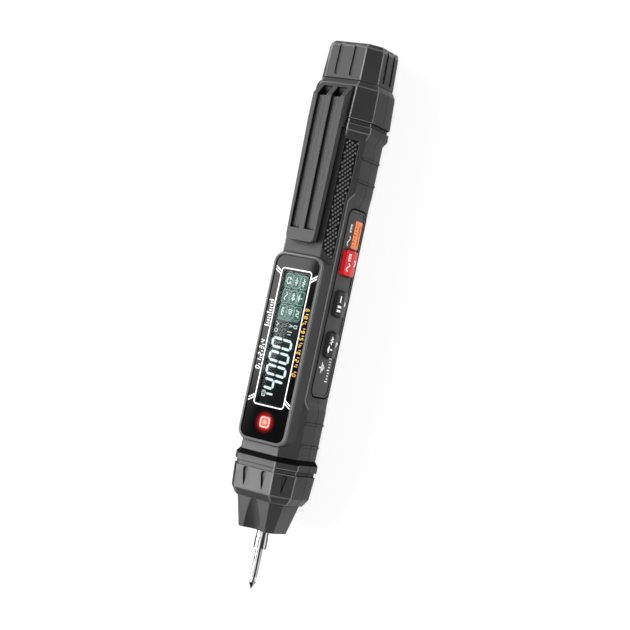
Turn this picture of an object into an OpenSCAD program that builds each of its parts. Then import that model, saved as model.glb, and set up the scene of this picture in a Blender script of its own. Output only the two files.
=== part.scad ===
// Pen multimeter lying on its back: +Z is the display side, +Y the tail end, -Y the probe tip,
// +X the side that carries the three buttons. Millimetres. The origin is the centre of the
// bounding box in X and Y and its lowest plane in Z.

/* [Lengths along the pen, from tail to tip] */
// Tail cap
cap_len = 14.1; // [12:0.1:17]
// Sloped shoulder under the tail cap
shoulder_len = 2.15; // [1.5:0.05:3]
// Collar behind the shoulder
collar_len = 11.85; // [10:0.05:14]
// Groove between the collar and the tail ring
tail_groove_len = 1.7; // [1.2:0.1:2.4]
// Raised ring before the body
ring_len = 2.6; // [2:0.1:4]
// Slope from the ring down to the body
ring_bevel = 2; // [1:0.1:3]
// Straight body between the battery bay and the slope to the nose ring
nose_room = 21.5; // [20:0.5:30]
// Slope from the body up to the nose ring
step_len = 1.7; // [1:0.1:3]
// Nose ring
nose_ring_len = 2.5; // [2:0.1:4]
// Groove between the nose ring and the grip
nose_groove_len = 1.6; // [1.2:0.1:2.4]
// Finger grip
grip_len = 8.4; // [8:0.1:11]
// Slope at the end of the grip
grip_bevel = 2.8; // [2:0.1:4]
// Nose cone
cone_len = 11.1; // [9:0.1:14]
// Metal sleeve outside the cone
sleeve_out = 7; // [5:0.5:10]
// Plain needle outside the sleeve
needle_out = 10.7; // [8:0.1:14]
// Pointed needle tip
tip_len = 4.6; // [3:0.1:6]

/* [Eight-sided sections, full width and full depth] */
// Body width
body_w = 24.6; // [24:0.1:26]
// Body depth
body_d = 26.6; // [26.2:0.1:27.6]
// Width of the collar and both rings
collar_w = 27.2; // [26.6:0.1:29]
// Depth of the collar and both rings
collar_d = 28.1; // [27.9:0.1:30]
// Collar width at the shoulder
collar_top_w = 26.4; // [26:0.1:27]
// Collar depth at the shoulder
collar_top_d = 26.2; // [25.8:0.1:27]
// Cap width at its open end
cap_w = 24; // [23:0.1:25]
// Cap depth at its open end
cap_d = 23.2; // [22.4:0.1:24.4]
// Cap width under its end bevel
cap_mid_w = 23.1; // [22.4:0.1:24]
// Cap depth under its end bevel
cap_mid_d = 22.4; // [22:0.1:23.4]
// Cap width at its end face
cap_end_w = 21.6; // [20:0.1:22.4]
// Cap depth at its end face
cap_end_d = 19.4; // [18:0.1:21]
// Grip width at the nose groove
grip_w = 26.9; // [26:0.1:28]
// Grip depth at the nose groove
grip_d = 27.4; // [26.6:0.1:28]
// Grip width at its bevel
grip_end_w = 25.9; // [25:0.1:27]
// Grip depth at its bevel
grip_end_d = 26; // [25.4:0.1:27]
// Housing width where the cone leaves it
nose_w = 22.4; // [21.4:0.1:24]
// Housing depth where the cone leaves it
nose_d = 20.8; // [20.4:0.1:22]
// Cone width at the housing
cone_w = 20.2; // [18:0.1:21]
// Cone depth at the housing
cone_d = 20; // [18:0.1:20.4]
// Cone width at its end
cone_end_w = 15.2; // [13:0.1:17]
// Cone depth at its end
cone_end_d = 14.6; // [13:0.1:16]
// Depth of the two ring grooves
groove_depth = 0.75; // [0.4:0.05:1]

/* [Housing] */
// Wall thickness
wall = 1.8; // [1.5:0.05:1.9]
// How far the probe axis and the parting plane lie behind the middle of the depth
core_drop = 1.1; // [0.5:0.05:1.3]
// Bevel at the cap's end
cap_bevel = 1.6; // [1:0.1:2.5]
// Thickness of the cap's end wall
cap_end_wall = 2.8; // [2.2:0.1:3.4]
// Radius of the round neck that carries the cap
neck_r = 8.8; // [8.2:0.1:9.2]
// Radial clearance of sliding and pushed-in round parts
round_gap = 0.05; // [0.03:0.01:0.09]
// Clearance between parts that lie beside each other
fit_gap = 0.1; // [0.06:0.01:0.15]
// Clearance round parts that move
run_gap = 0.3; // [0.2:0.05:0.35]
// Width of a groove in the cap's faces
cap_groove_w = 1.5; // [1:0.1:2]
// Depth of a groove in the cap's faces
cap_groove_depth = 0.5; // [0.3:0.05:0.8]
// Distance of the front grooves from the middle
cap_groove_x = 3.1; // [2.5:0.1:3.6]
// Distance of the side grooves from the middle
cap_groove_z = 2.5; // [2:0.1:3]
// Height of the side ridges
ridge_rise = 0.3; // [0.2:0.05:0.5]
// Width of the side ridges
ridge_w = 0.8; // [0.5:0.1:1.2]
// First side ridge from the tail end of the body
tail_ridge_inset = 6.5; // [5:0.1:7.5]
// First side ridge from the nose end of the body
nose_ridge_inset = 5.1; // [4:0.1:6.5]
// Distance between two side ridges
ridge_pitch = 8.3; // [6:0.1:8.5]

/* [Finger dimples on the grip] */
// Radius of a dimple's round end
dimple_r = 1.1; // [0.8:0.1:1.4]
// Length from the round end's centre to the point
dimple_len = 6; // [4:0.1:6.5]
// Depth of a dimple
dimple_depth = 0.6; // [0.3:0.1:0.8]
// Distance of the front dimples from the middle
dimple_x = 3.85; // [3:0.05:5]

/* [Knurled grip panels] */
// Thickness of a grip pad
pad_t = 0.6; // [0.4:0.1:0.8]
// Distance of the pad from the front edge of its face
pad_edge = 0.4; // [0.2:0.1:0.8]
// Pad width beside the plain side face
pad_wide = 5.3; // [4.6:0.1:5.8]
// Pad width beside the button recess
pad_narrow = 4.6; // [4:0.1:5]
// Distance from the tail end of the body to the pad
pad_start = 1.2; // [0.8:0.1:2]
// Distance from the pad to the display surround
pad_end_gap = 0.6; // [0.5:0.1:4]
// How much shorter the pad is at its front edge
pad_slant = 3.4; // [2:0.1:6]

/* [Display] */
// Distance from the nose end of the body to the display surround
display_nose_gap = 3.5; // [3:0.1:6]
// Width of the surround's rim round the window
surround_rim = 1.05; // [0.8:0.05:1.4]
// How far the surround's walls slope outward down to the body
surround_draft = 0.85; // [0.5:0.05:1]
// How far the surround stands out of the body
surround_rise = 1.1; // [0.8:0.1:1.5]
// Depth of the surround's drafted side walls
surround_skirt = 5; // [4:0.1:5.5]
// Bevel of the surround's rim
rim_bevel = 0.5; // [0.3:0.1:0.6]
// Corner radius of the surround
surround_r = 4; // [3.6:0.1:5]
// Window beyond the panel toward the tail
window_tail_margin = 3.9; // [3:0.1:5]
// Window beyond the indicator toward the tip
window_tip_margin = 4.2; // [3:0.1:5]
// Window beyond the panel on either side
window_side_margin = 2.25; // [1.9:0.05:2.4]
// Corner radius of the window
window_r = 3; // [2:0.1:3.5]
// Thickness of the window
window_t = 1.5; // [1.2:0.1:1.6]
// Depth of the window's face below the rim
window_drop = 0.45; // [0.3:0.05:0.6]
// Length of the liquid crystal panel
lcd_len = 51.7; // [48:0.1:52]
// Width of the liquid crystal panel
lcd_w = 13.8; // [13:0.1:14.4]
// Thickness of the liquid crystal panel
lcd_t = 1.3; // [1:0.1:1.6]
// Thickness of the backlight
backlight_t = 1.5; // [1:0.1:2]
// Wall of the frame that holds the panel
lcd_frame_wall = 0.8; // [0.6:0.1:1]
// Width of the contact strips between the panel and the board
strip_w = 1.4; // [1:0.1:1.8]
// Length of the indicator's square lens, along the pen
indicator_len = 4.2; // [3.5:0.1:5]
// Width of the indicator's square lens
indicator_w = 4.4; // [3.5:0.1:5]
// Corner radius of the indicator's lens
indicator_r = 1; // [0.5:0.1:1.5]
// Distance between the panel and the indicator
indicator_gap = 2.8; // [2:0.1:4]
// Height of the indicator's light source on the board
indicator_led_h = 1.8; // [1.4:0.1:2.2]

/* [Buttons and side plate] */
// How far the side recess lies from the middle of the body, toward the tip
recess_shift = 0.75; // [0:0.05:2]
// Room between the side plate and either end of the recess
plate_margin = 4.95; // [4:0.05:6]
// Depth of the side recess below the side face
recess_depth = 1.1; // [0.8:0.05:1.4]
// Length of the slopes at the recess ends
recess_slope = 2.6; // [1.5:0.1:3]
// Length of the side plate
plate_len = 69.1; // [66:0.1:70]
// Height of the side plate across the side face
plate_h = 12.5; // [11.8:0.1:13]
// Corner radius of the side plate
plate_r = 3; // [2:0.1:3.5]
// Thickness of the side plate
plate_t = 1.1; // [0.9:0.1:1.3]
// Width of the plate's raised rim
plate_rim = 0.6; // [0.4:0.1:0.9]
// Depth of the plate's floor below its rim
plate_floor_drop = 0.35; // [0.2:0.05:0.5]
// Width of the ledge that the plate lies on
plate_ledge = 1; // [0.8:0.1:1.3]
// Distance between two buttons
button_pitch = 15.2; // [14:0.1:16]
// Length of the power button
power_len = 9.2; // [8:0.1:10]
// Height of the power button across the side face
power_h = 7.7; // [6.6:0.1:8.2]
// Length of the two other buttons
key_len = 8.9; // [8:0.1:9.8]
// Height of the two other buttons across the side face
key_h = 6.6; // [6:0.1:7.6]
// How far the power button's ridge stands out of the recess floor
power_rise = 1.75; // [1.3:0.05:2]
// How far the other buttons' ridges stand out of the recess floor
key_rise = 1.55; // [1.2:0.05:1.8]
// Drop from a button's ridge to its long edges
button_roof = 0.45; // [0.2:0.05:0.6]
// Corner radius of the buttons
button_r = 0.8; // [0.5:0.1:1]
// Travel of a button
button_travel = 0.5; // [0.3:0.1:0.6]
// Thickness of the flange that keeps a button in
flange_t = 0.6; // [0.5:0.1:0.8]
// Width of the flange round a button
flange_w = 0.7; // [0.5:0.1:0.8]
// Side of a tact switch
switch_w = 4.5; // [4:0.1:5]
// Thickness of a tact switch
switch_t = 1.1; // [0.9:0.1:1.2]
// Radius of a tact switch's plunger
plunger_r = 1.1; // [0.8:0.1:1.4]

/* [Pocket clip] */
// Distance from the top of the collar to the clip's ramp
clip_start = 0.25; // [0.1:0.05:0.6]
// Length of the ramp
clip_ramp = 5; // [4:0.1:6]
// Distance from the start of the ramp to the hinge line of the arm
clip_root_len = 15.5; // [14.6:0.1:17]
// Distance from the free end of the arm to the display surround
clip_end_gap = 4.6; // [4:0.1:8]
// Height of the clip's face over the body's front face at the root
clip_rise = 4.8; // [4.4:0.1:5.4]
// How much lower the clip's face is at its free end
clip_fall = 0.8; // [0.4:0.1:1]
// Thickness of the arm
clip_t = 2.5; // [2.2:0.1:2.6]
// Width of the clip at its root
clip_w = 13.4; // [12.4:0.1:14]
// Width of the clip at its free end
clip_end_w = 11.8; // [11:0.1:12.4]
// Inner edge of a channel from the middle
channel_in = 1.1; // [0.8:0.1:1.4]
// Outer edge of a channel from the middle
channel_out = 4.8; // [4.2:0.1:5]
// Depth of a channel
channel_depth = 1.5; // [1:0.1:1.6]
// Plain length at the free end
clip_end_plain = 4.5; // [3:0.1:6]
// Corner radius of the free end
clip_r = 1.8; // [1:0.1:2.5]

/* [Battery bay] */
// Radius of one cell
cell_r = 5.25; // [5.2:0.05:5.3]
// Length of one cell with its cap
cell_len = 44.5; // [44:0.1:44.8]
// Radius of a cell's positive cap
cell_cap_r = 1.9; // [1.7:0.1:2.2]
// Height of a cell's positive cap
cell_cap_h = 1; // [0.8:0.1:1.2]
// Room for the spring beside the cell
spring_len = 3; // [2.4:0.1:3.4]
// Radius of the spring wire
wire_r = 0.3; // [0.2:0.05:0.35]
// Turns of the spring
spring_turns = 4; // [3:1:5]
// Thickness of a contact plate
contact_t = 0.5; // [0.3:0.1:0.6]
// Thickness of the bay's walls
bay_wall = 0.8; // [0.7:0.05:0.85]
// Distance from the tail end of the body to the bay
bay_start = 2.6; // [2.2:0.1:4]
// Width of the battery door
door_w = 14.4; // [13:0.1:15]
// Thickness of the door's plate
door_t = 0.6; // [0.5:0.05:0.65]
// How far the door covers the shell beyond the opening
door_lap = 1.5; // [1:0.1:2]
// Travel of the door
door_travel = 6; // [4:0.5:6.5]
// Length of the door's tongue under the shell
tongue_len = 2; // [1:0.1:2.4]
// Width of the door's tongue
tongue_w = 6; // [4:0.5:7]

/* [Inside] */
// Width of the main board
board_w = 16.8; // [16.2:0.1:17]
// Thickness of the boards
board_t = 1.2; // [1:0.1:1.6]
// Height of the main board's lower face over the middle of the depth
board_z = 2.2; // [2:0.1:2.4]
// Radius of the screw posts
post_r = 2.4; // [2.2:0.1:2.6]
// Distance of the screws from the middle
screw_x = 5.3; // [5.2:0.1:5.6]
// Radius of a screw's shank
screw_r = 1.1; // [1:0.05:1.2]
// Radius of a screw's head
screw_head_r = 1.9; // [1.7:0.05:2]
// Height of a screw's head
screw_head_h = 1.4; // [1.2:0.1:1.6]
// Length of a screw below its head
screw_len = 15; // [13:0.5:16]
// Radius of the socket's bore, for a 4 mm plug
socket_bore_r = 2; // [1.95:0.01:2.05]
// Depth of the socket's bore
socket_depth = 13; // [11:0.5:13.5]
// Outer radius of the socket
socket_r = 3.6; // [3.2:0.1:3.9]
// Radius of the socket's flange
socket_flange_r = 4.6; // [4.2:0.1:5]
// Thickness of the socket's flange
socket_flange_t = 1.2; // [1:0.1:1.5]
// Radius of the way through the cap for a plug
plug_way_r = 4.6; // [4.3:0.1:5.2]
// Radius of the buzzer
buzzer_r = 6; // [5:0.1:6.5]
// Height of the buzzer
buzzer_h = 4.5; // [3:0.1:5.5]
// Side of the measuring chip
chip_w = 10; // [8:0.5:11]
// Thickness of the measuring chip
chip_t = 1.4; // [1:0.1:1.8]

/* [Probe] */
// Radius of the probe's sleeve
sleeve_r = 2.2; // [2:0.05:2.5]
// Radius of the sleeve's end ring
sleeve_ring_r = 2.35; // [2.2:0.05:2.6]
// Length of the sleeve's end ring
sleeve_ring_len = 3.9; // [3:0.1:4.5]
// Radius of the needle
needle_r = 1.27; // [1.1:0.01:1.4]
// Radius of the needle's shank inside the sleeve
shank_r = 1.1; // [0.9:0.05:1.15]
// Radius of the needle's neck behind its point
needle_neck_r = 0.75; // [0.6:0.05:0.9]
// Length of the needle's neck
needle_neck_len = 0.7; // [0.5:0.1:1]
// Length of the back slope of the needle's point
point_back = 1.2; // [0.8:0.1:1.6]
// Radius of the scoop in the cone's front face
scoop_r = 4.2; // [3.6:0.1:4.8]
// Depth of the scoop at the cone's end
scoop_depth = 2; // [1.4:0.1:2.2]

/* [Hidden] */
$fn = 48;

// Shares of the half width and half depth that the flat faces of each section take
body_shares = [0.618, 0.481];
collar_shares = [0.581, 0.49];
cap_shares = [0.62, 0.51];
cap_end_shares = [0.657, 0.603];
cone_shares = [0.658, 0.55];
cone_end_shares = [0.737, 0.603];

// Overrun of cuts, and the height of a bounding slab that clears the whole part
cut = 1;
huge = 300;

// Lengths that follow from what the body holds
bay_len = 2 * cell_len + spring_len + 2 * contact_t + 4 * fit_gap;
body_len = bay_start + bay_len + nose_room;

// Stations along Y
total_len = cap_len + shoulder_len + collar_len + tail_groove_len + ring_len + ring_bevel
  + body_len + step_len + nose_ring_len + nose_groove_len + grip_len + grip_bevel + cone_len
  + sleeve_out + needle_out + tip_len;
y_tail = total_len / 2;
y_shoulder = y_tail - cap_len;
y_collar = y_shoulder - shoulder_len;
y_tail_groove = y_collar - collar_len;
y_ring = y_tail_groove - tail_groove_len;
y_ring_end = y_ring - ring_len;
y_body = y_ring_end - ring_bevel;
y_step = y_body - body_len;
y_nose_ring = y_step - step_len;
y_nose_groove = y_nose_ring - nose_ring_len;
y_grip = y_nose_groove - nose_groove_len;
y_grip_end = y_grip - grip_len;
y_cone = y_grip_end - grip_bevel;
y_cone_end = y_cone - cone_len;
y_sleeve_end = y_cone_end - sleeve_out;
y_needle_end = y_sleeve_end - needle_out;
y_point = -y_tail;

// Heights over the middle of the depth
axis_z = collar_d / 2;
core_z = -core_drop;
front_z = body_d / 2;
back_z = -front_z;
side_x = body_w / 2;
board_top = board_z + board_t;

// Cavity ends
cavity_tail = y_shoulder - shoulder_len - wall;
cavity_tip = y_grip_end + wall;

// The sloping face between the front and the side of the body
slope_run = side_x * (1 - body_shares[0]);
slope_fall = front_z * (1 - body_shares[1]);
slope_angle = atan2(slope_fall, slope_run);

// Display places
window_len = window_tail_margin + lcd_len + indicator_gap + indicator_len + window_tip_margin;
window_w = lcd_w + 2 * window_side_margin;
surround_len = window_len + 2 * surround_rim;
surround_w = window_w + 2 * surround_rim;
display_y = y_step + display_nose_gap + surround_len / 2;
display_tail = display_y + surround_len / 2;
window_top = front_z + surround_rise - window_drop;
window_floor = window_top - window_t;
lcd_y = display_y + window_len / 2 - window_tail_margin - lcd_len / 2;
lcd_top = window_floor - fit_gap;
lcd_bottom = lcd_top - lcd_t;
indicator_y = lcd_y - lcd_len / 2 - indicator_gap - indicator_len / 2;
backlight_x = lcd_w / 2 - lcd_frame_wall - strip_w - 2 * fit_gap;
backlight_y = lcd_len / 2 - lcd_frame_wall - fit_gap;

// Button places
recess_len = plate_len + 2 * plate_margin;
recess_y = (y_body + y_step) / 2 - recess_shift;
recess_x = side_x - recess_depth;
plate_top = recess_x + fit_gap / 2;
plate_seat = plate_top - plate_t;
recess_inner = plate_seat - bay_wall;
flange_top = plate_seat - run_gap;
flange_bottom = flange_top - flange_t;
button_board_x = cell_r + 2 * fit_gap + bay_wall + fit_gap;
switch_x = button_board_x + board_t;
plunger_end = flange_bottom - button_travel - fit_gap / 2;
power_y = recess_y + button_pitch;
hold_y = recess_y;
sense_y = recess_y - button_pitch;
button_board_len = 2 * button_pitch + key_len;
button_board_h = board_z - core_z + key_h / 2 + switch_w / 4;

// Battery places
bay_tail = y_body - bay_start;
tail_cell_y = bay_tail - contact_t - fit_gap - cell_len;
tip_cell_y = tail_cell_y - fit_gap - cell_len;
spring_y = tip_cell_y - fit_gap - spring_len;
bay_tip = spring_y - contact_t - fit_gap;
bay_x = cell_r + 2 * fit_gap;
cell_z = board_z - 2 * bay_wall - fit_gap - cell_r - bay_wall;
bay_top = board_z - fit_gap;
opening_x = cell_r + fit_gap / 2;
contact_share = 0.8;
contact_half = cell_r * contact_share;
contact_low = max(cell_z - contact_half, back_z + wall + 2 * door_t + run_gap);

// Clip places
clip_y = y_collar - clip_start;
clip_top = front_z + clip_rise;
hinge_y = clip_y - clip_root_len;
clip_arm_len = hinge_y - display_tail - clip_end_gap;
clip_slope = clip_fall / clip_arm_len;
hinge_z = clip_top - clip_t / 2;

// Screw and board places
post_top = min(front_z, collar_d / 2) - wall / 2;
well_r = screw_head_r + round_gap + fit_gap;
well_post_r = well_r + bay_wall;
tail_screw_y = cavity_tail - well_post_r - contact_t - fit_gap;
tip_screw_y = cavity_tip + well_post_r + fit_gap;
board_tail = tail_screw_y - post_r - wall;
board_tip = tip_screw_y + post_r + wall;
neck_end = y_tail - cap_end_wall - fit_gap;
socket_tail = neck_end;
buzzer_y = bay_tip - 2 * bay_wall - buzzer_r - wall;
screw_head_z = core_z - screw_len / 2 - screw_r;
spigot_r = cone_end_d / 2 - wall / 2;

// Corners of an eight-sided section as [x, z], clockwise when seen from the probe tip
function section(w, d, shares) =
  let (x = w / 2, z = d / 2, a = x * shares[0], s = z * shares[1])
  [[a, z], [x, s], [x, -s], [a, -z], [-a, -z], [-x, -s], [-x, s], [-a, z]];

// Body section set inward by a wall on every face
function inset_section(t) =
  let (x = side_x - t, z = front_z - t,
    a = side_x * body_shares[0] - t * tan(slope_angle / 2),
    s = front_z * body_shares[1] - t * tan((90 - slope_angle) / 2))
  [[a, z], [x, s], [x, -s], [a, -z], [-a, -z], [-x, -s], [-x, s], [-a, z]];

// Solid through sections given as [y, section], from tail to tip
module loft(stations) {
  n = 8;
  last = len(stations) - 1;
  points = [for (st = stations) for (p = st[1]) [p[0], st[0], p[1]]];
  sides = [for (i = [0:last - 1]) for (j = [0:n - 1])
    let (k = (j + 1) % n, top = i * n, low = top + n)
    each [[top + j, top + k, low + k], [top + j, low + k, low + j]]];
  tail_end = [for (j = [n - 1:-1:0]) j];
  tip_end = [for (j = [0:n - 1]) last * n + j];
  polyhedron(points, concat([tail_end], sides, [tip_end]));
}

// Lifts what is drawn round the pen's axis to its height over the resting plane
module on_axis() { translate([0, 0, axis_z]) children(); }

// Box between two corners
module block(low, high) { translate(low) cube(high - low); }

// Cylinder that starts at a point and runs toward +Y
module y_rod(start, r, length) { translate(start) rotate([-90, 0, 0]) cylinder(h = length, r = r); }

// Cylinder that starts at a point and runs toward +Z
module z_rod(start, r, length) { translate(start) cylinder(h = length, r = r); }

// Rectangle with round corners, centred
module round_rect(w, h, r) {
  square([w - 2 * r, h], center = true);
  square([w, h - 2 * r], center = true);
  for (x = [-1, 1], y = [-1, 1]) translate([x * (w / 2 - r), y * (h / 2 - r)]) circle(r = r);
}

// Plate with round corners that lies flat, from z up by t, centred on y
module flat_plate(w, length, r, y, z, t) {
  translate([0, y, z]) linear_extrude(t) round_rect(w, length, r);
}

// Plate with round corners that stands on the button side, from x outward by t
module side_slab(length, h, r, x, y, t) {
  translate([x, y, core_z]) rotate([90, 0, 90]) linear_extrude(t) round_rect(length, h, r);
}

// Outline with one round end and one point, the point toward -Y
module teardrop(r, length) {
  half = acos(r / length);
  steps = 20;
  arc = [for (i = [0:steps]) let (a = half - 90 + (360 - 2 * half) * i / steps) r * [cos(a), sin(a)]];
  polygon(concat([[0, -length]], arc));
}

// Copies on the left and right halves
module both_sides() { children(); mirror([1, 0, 0]) children(); }

// Copies on the display side and the back
module front_and_back() { children(); mirror([0, 0, 1]) children(); }

// Outer form of the housing, without the display surround and the recesses
module housing_form() {
  ring = section(collar_w, collar_d, collar_shares);
  sunk = section(collar_w - 2 * groove_depth, collar_d - 2 * groove_depth, collar_shares);
  body = section(body_w, body_d, body_shares);
  loft([
    [y_shoulder, section(cap_w, cap_d, cap_shares)],
    [y_collar, section(collar_top_w, collar_top_d, collar_shares)],
    [y_tail_groove, ring], [y_tail_groove, sunk], [y_ring, sunk], [y_ring, ring],
    [y_ring_end, ring], [y_body, body], [y_step, body], [y_nose_ring, ring],
    [y_nose_groove, ring], [y_nose_groove, sunk], [y_grip, sunk],
    [y_grip, section(grip_w, grip_d, collar_shares)],
    [y_grip_end, section(grip_end_w, grip_end_d, collar_shares)],
    [y_cone, section(nose_w, nose_d, cone_shares)]]);
}

// Recess across the button side
module button_recess() {
  half = recess_len / 2;
  outer = side_x + cut;
  flat = half - recess_slope;
  translate([0, recess_y, -huge / 2]) linear_extrude(huge)
    polygon([[outer, half + recess_slope * cut / recess_depth], [recess_x, flat], [recess_x, -flat],
      [outer, -half - recess_slope * cut / recess_depth]]);
}

// Dimples on the front, back and sloping faces of the grip
module grip_dimples() {
  tilt = atan2((grip_d - grip_end_d) / 2, grip_len);
  y = y_grip - dimple_r - dimple_depth / 2;
  top = grip_d / 2 - tan(tilt) * (dimple_r + dimple_depth / 2);
  shoulder = [grip_w / 2, top];
  run = shoulder[0] * (1 - collar_shares[0]);
  fall = shoulder[1] * (1 - collar_shares[1]);
  angle = atan2(fall, run);
  both_sides() front_and_back() {
    translate([dimple_x, y, top]) rotate([tilt, 0, 0]) translate([0, 0, -dimple_depth])
      linear_extrude(cut + dimple_depth) teardrop(dimple_r, dimple_len);
    translate([shoulder[0] - run / 2, y, shoulder[1] - fall / 2]) rotate([0, angle, 0])
      rotate([tilt, 0, 0]) translate([0, 0, -dimple_depth])
        linear_extrude(cut + dimple_depth) teardrop(dimple_r, dimple_len);
  }
}

// Low ridges across both side faces
module side_ridges() {
  half = front_z * body_shares[1];
  starts = [y_body - tail_ridge_inset, y_body - tail_ridge_inset - ridge_pitch,
    y_step + nose_ridge_inset, y_step + nose_ridge_inset + ridge_pitch];
  both_sides() for (y = starts)
    block([side_x - wall / 2, y - ridge_w / 2, -half], [side_x + ridge_rise, y + ridge_w / 2, half]);
}

// Raised surround of the display with drafted walls and a bevelled rim
module display_surround() {
  draft = surround_draft;
  rim_z = front_z + surround_rise;
  skirt_z = front_z - surround_skirt;
  film = rim_bevel / 10;
  hull() {
    flat_plate(surround_w + 2 * draft, surround_len + 2 * draft, surround_r + draft, display_y,
      skirt_z, film, $fn = 32);
    flat_plate(surround_w + rim_bevel, surround_len + rim_bevel, surround_r + rim_bevel / 2,
      display_y, rim_z - rim_bevel - film, film, $fn = 32);
    flat_plate(surround_w - rim_bevel, surround_len - rim_bevel, surround_r - rim_bevel / 2,
      display_y, rim_z - film, film, $fn = 32);
  }
}

// Window recess, panel opening and indicator opening through the front wall
module display_cuts() {
  flat_plate(window_w + 2 * fit_gap, window_len + 2 * fit_gap, window_r + fit_gap, display_y,
    window_floor, huge);
  block([-lcd_w / 2 - fit_gap, lcd_y - lcd_len / 2 - fit_gap, board_top],
    [lcd_w / 2 + fit_gap, lcd_y + lcd_len / 2 + fit_gap, huge]);
  flat_plate(indicator_w + 2 * fit_gap, indicator_len + 2 * fit_gap, indicator_r + fit_gap,
    indicator_y, board_top, huge);
}

// Outline of a grip pad in the plane of its sloping face, grown by g
module pad_outline(g) {
  step_y = y_body - recess_y - recess_len / 2 + recess_slope / 2;
  side_end = y_body - display_tail - pad_end_gap;
  low = pad_edge - g;
  polygon([[low, -pad_start + g], [pad_edge + pad_wide + g, -pad_start + g],
    [pad_edge + pad_wide + g, -step_y + recess_slope], [pad_edge + pad_narrow + g, -step_y - g],
    [pad_edge + pad_narrow + g, -side_end - g], [low, pad_slant - side_end - g]]);
}

// Grip pad on the button side, sunk into the sloping face
module pad_solid(g, over) {
  translate([side_x * body_shares[0], y_body, front_z]) rotate([0, slope_angle, 0])
    translate([0, 0, -pad_t - g]) linear_extrude(pad_t + g + over) pad_outline(g);
}

// Inner space of the housing
module cavity() {
  inner = inset_section(wall);
  difference() {
    loft([[cavity_tail, inner], [cavity_tip, inner]]);
    block([recess_inner, recess_y - recess_len / 2 - wall, -huge],
      [side_x, recess_y + recess_len / 2 + wall, huge]);
  }
}

// Pocket of the side plate and the opening behind it
module plate_cuts() {
  side_slab(plate_len + 2 * fit_gap, plate_h + 2 * fit_gap, plate_r + fit_gap, plate_seat, recess_y, huge);
  side_slab(plate_len - 2 * plate_ledge, plate_h - 2 * plate_ledge, plate_r - plate_ledge,
    recess_inner - cut, recess_y, huge);
}

// Places of the four shell screws
module at_screws() {
  for (x = [-screw_x, screw_x], y = [tail_screw_y, tip_screw_y]) translate([x, y, 0]) children();
}

// Half of the round neck with the seat of the socket
module neck() {
  difference() {
    y_rod([0, cavity_tail, 0], neck_r, neck_end - cavity_tail);
    y_rod([0, cavity_tail - cut, 0], socket_r + round_gap, neck_end - cavity_tail + 2 * cut);
    y_rod([0, neck_end - 2 * socket_flange_t - fit_gap, 0], socket_flange_r + round_gap,
      socket_flange_t + 2 * fit_gap);
  }
}

// Bore of the nose for the cone's spigot
module spigot_hole() {
  y_rod([0, y_cone - cut, core_z], spigot_r + round_gap, cavity_tip - y_cone + 2 * cut);
}

// Everything that both shells share before they are parted
module housing() {
  difference() {
    union() {
      housing_form();
      side_ridges();
      display_surround();
    }
    cavity();
    button_recess();
    grip_dimples();
    plate_cuts();
    spigot_hole();
    y_rod([0, cavity_tail - cut, 0], neck_r - wall, huge);
  }
  neck();
}

// Space above or below the parting plane
module above_parting() { block([-huge, -huge, core_z], [huge, huge, huge]); }
module below_parting() { block([-huge, -huge, -huge], [huge, huge, core_z]); }

// Display half of the housing, with its display surround and screw posts
module front_shell() color("dimgray") on_axis() {
  difference() {
    intersection() {
      housing();
      above_parting();
    }
    display_cuts();
    pad_solid(fit_gap, cut);
    mirror([1, 0, 0]) pad_solid(fit_gap, cut);
  }
  difference() {
    at_screws() z_rod([0, 0, core_z], post_r, post_top - core_z);
    at_screws() z_rod([0, 0, core_z - cut], screw_r + round_gap, screw_len / 2 + cut + wall);
  }
}

// Back half of the housing, with the battery bay and the screw wells
module rear_shell() color("dimgray") on_axis() {
  difference() {
    union() {
      intersection() {
        housing();
        below_parting();
      }
      at_screws()
        z_rod([0, 0, back_z + wall / 2], well_post_r, core_z - back_z - wall / 2 - fit_gap);
      bay_walls();
    }
    at_screws() z_rod([0, 0, -huge], well_r, huge + screw_head_z);
    at_screws() z_rod([0, 0, -huge], screw_r + round_gap, huge);
    block([-opening_x, bay_tip, -huge / 2], [opening_x, bay_tail, cell_z]);
    block([-tongue_w / 2 - run_gap, bay_tail - cut, back_z + wall],
      [tongue_w / 2 + run_gap, bay_tail + tongue_len + run_gap, back_z + wall + door_t + 2 * run_gap]);
  }
}

// Long walls and end walls round the two cells
module bay_walls() {
  low = back_z + wall / 2;
  difference() {
    block([-bay_x - bay_wall, bay_tip - 2 * bay_wall, low],
      [bay_x + bay_wall, bay_tail + 2 * bay_wall, bay_top]);
    block([-bay_x, bay_tip, low - cut], [bay_x, bay_tail, huge]);
  }
}

// One-piece nose with the scoop in its front face and a spigot inside the shells
module nose_cone() color("dimgray") on_axis() {
  run = cone_len - scoop_depth / 4;
  start_z = cone_end_d / 2 - scoop_depth + scoop_r;
  end_z = cone_d / 2 + scoop_r;
  tilt = atan2(end_z - start_z, run);
  difference() {
    union() {
      loft([[y_cone, section(cone_w, cone_d, cone_shares)],
        [y_cone_end, section(cone_end_w, cone_end_d, cone_end_shares)]]);
      y_rod([0, y_cone - cut, core_z], spigot_r, cavity_tip - y_cone + cut);
    }
    y_rod([0, y_cone_end - cut, core_z], sleeve_r + round_gap, huge);
    translate([0, y_cone_end, start_z]) rotate([tilt - 90, 0, 0]) translate([0, 0, -cone_len])
      cylinder(h = 3 * cone_len, r = scoop_r);
  }
}

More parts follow.
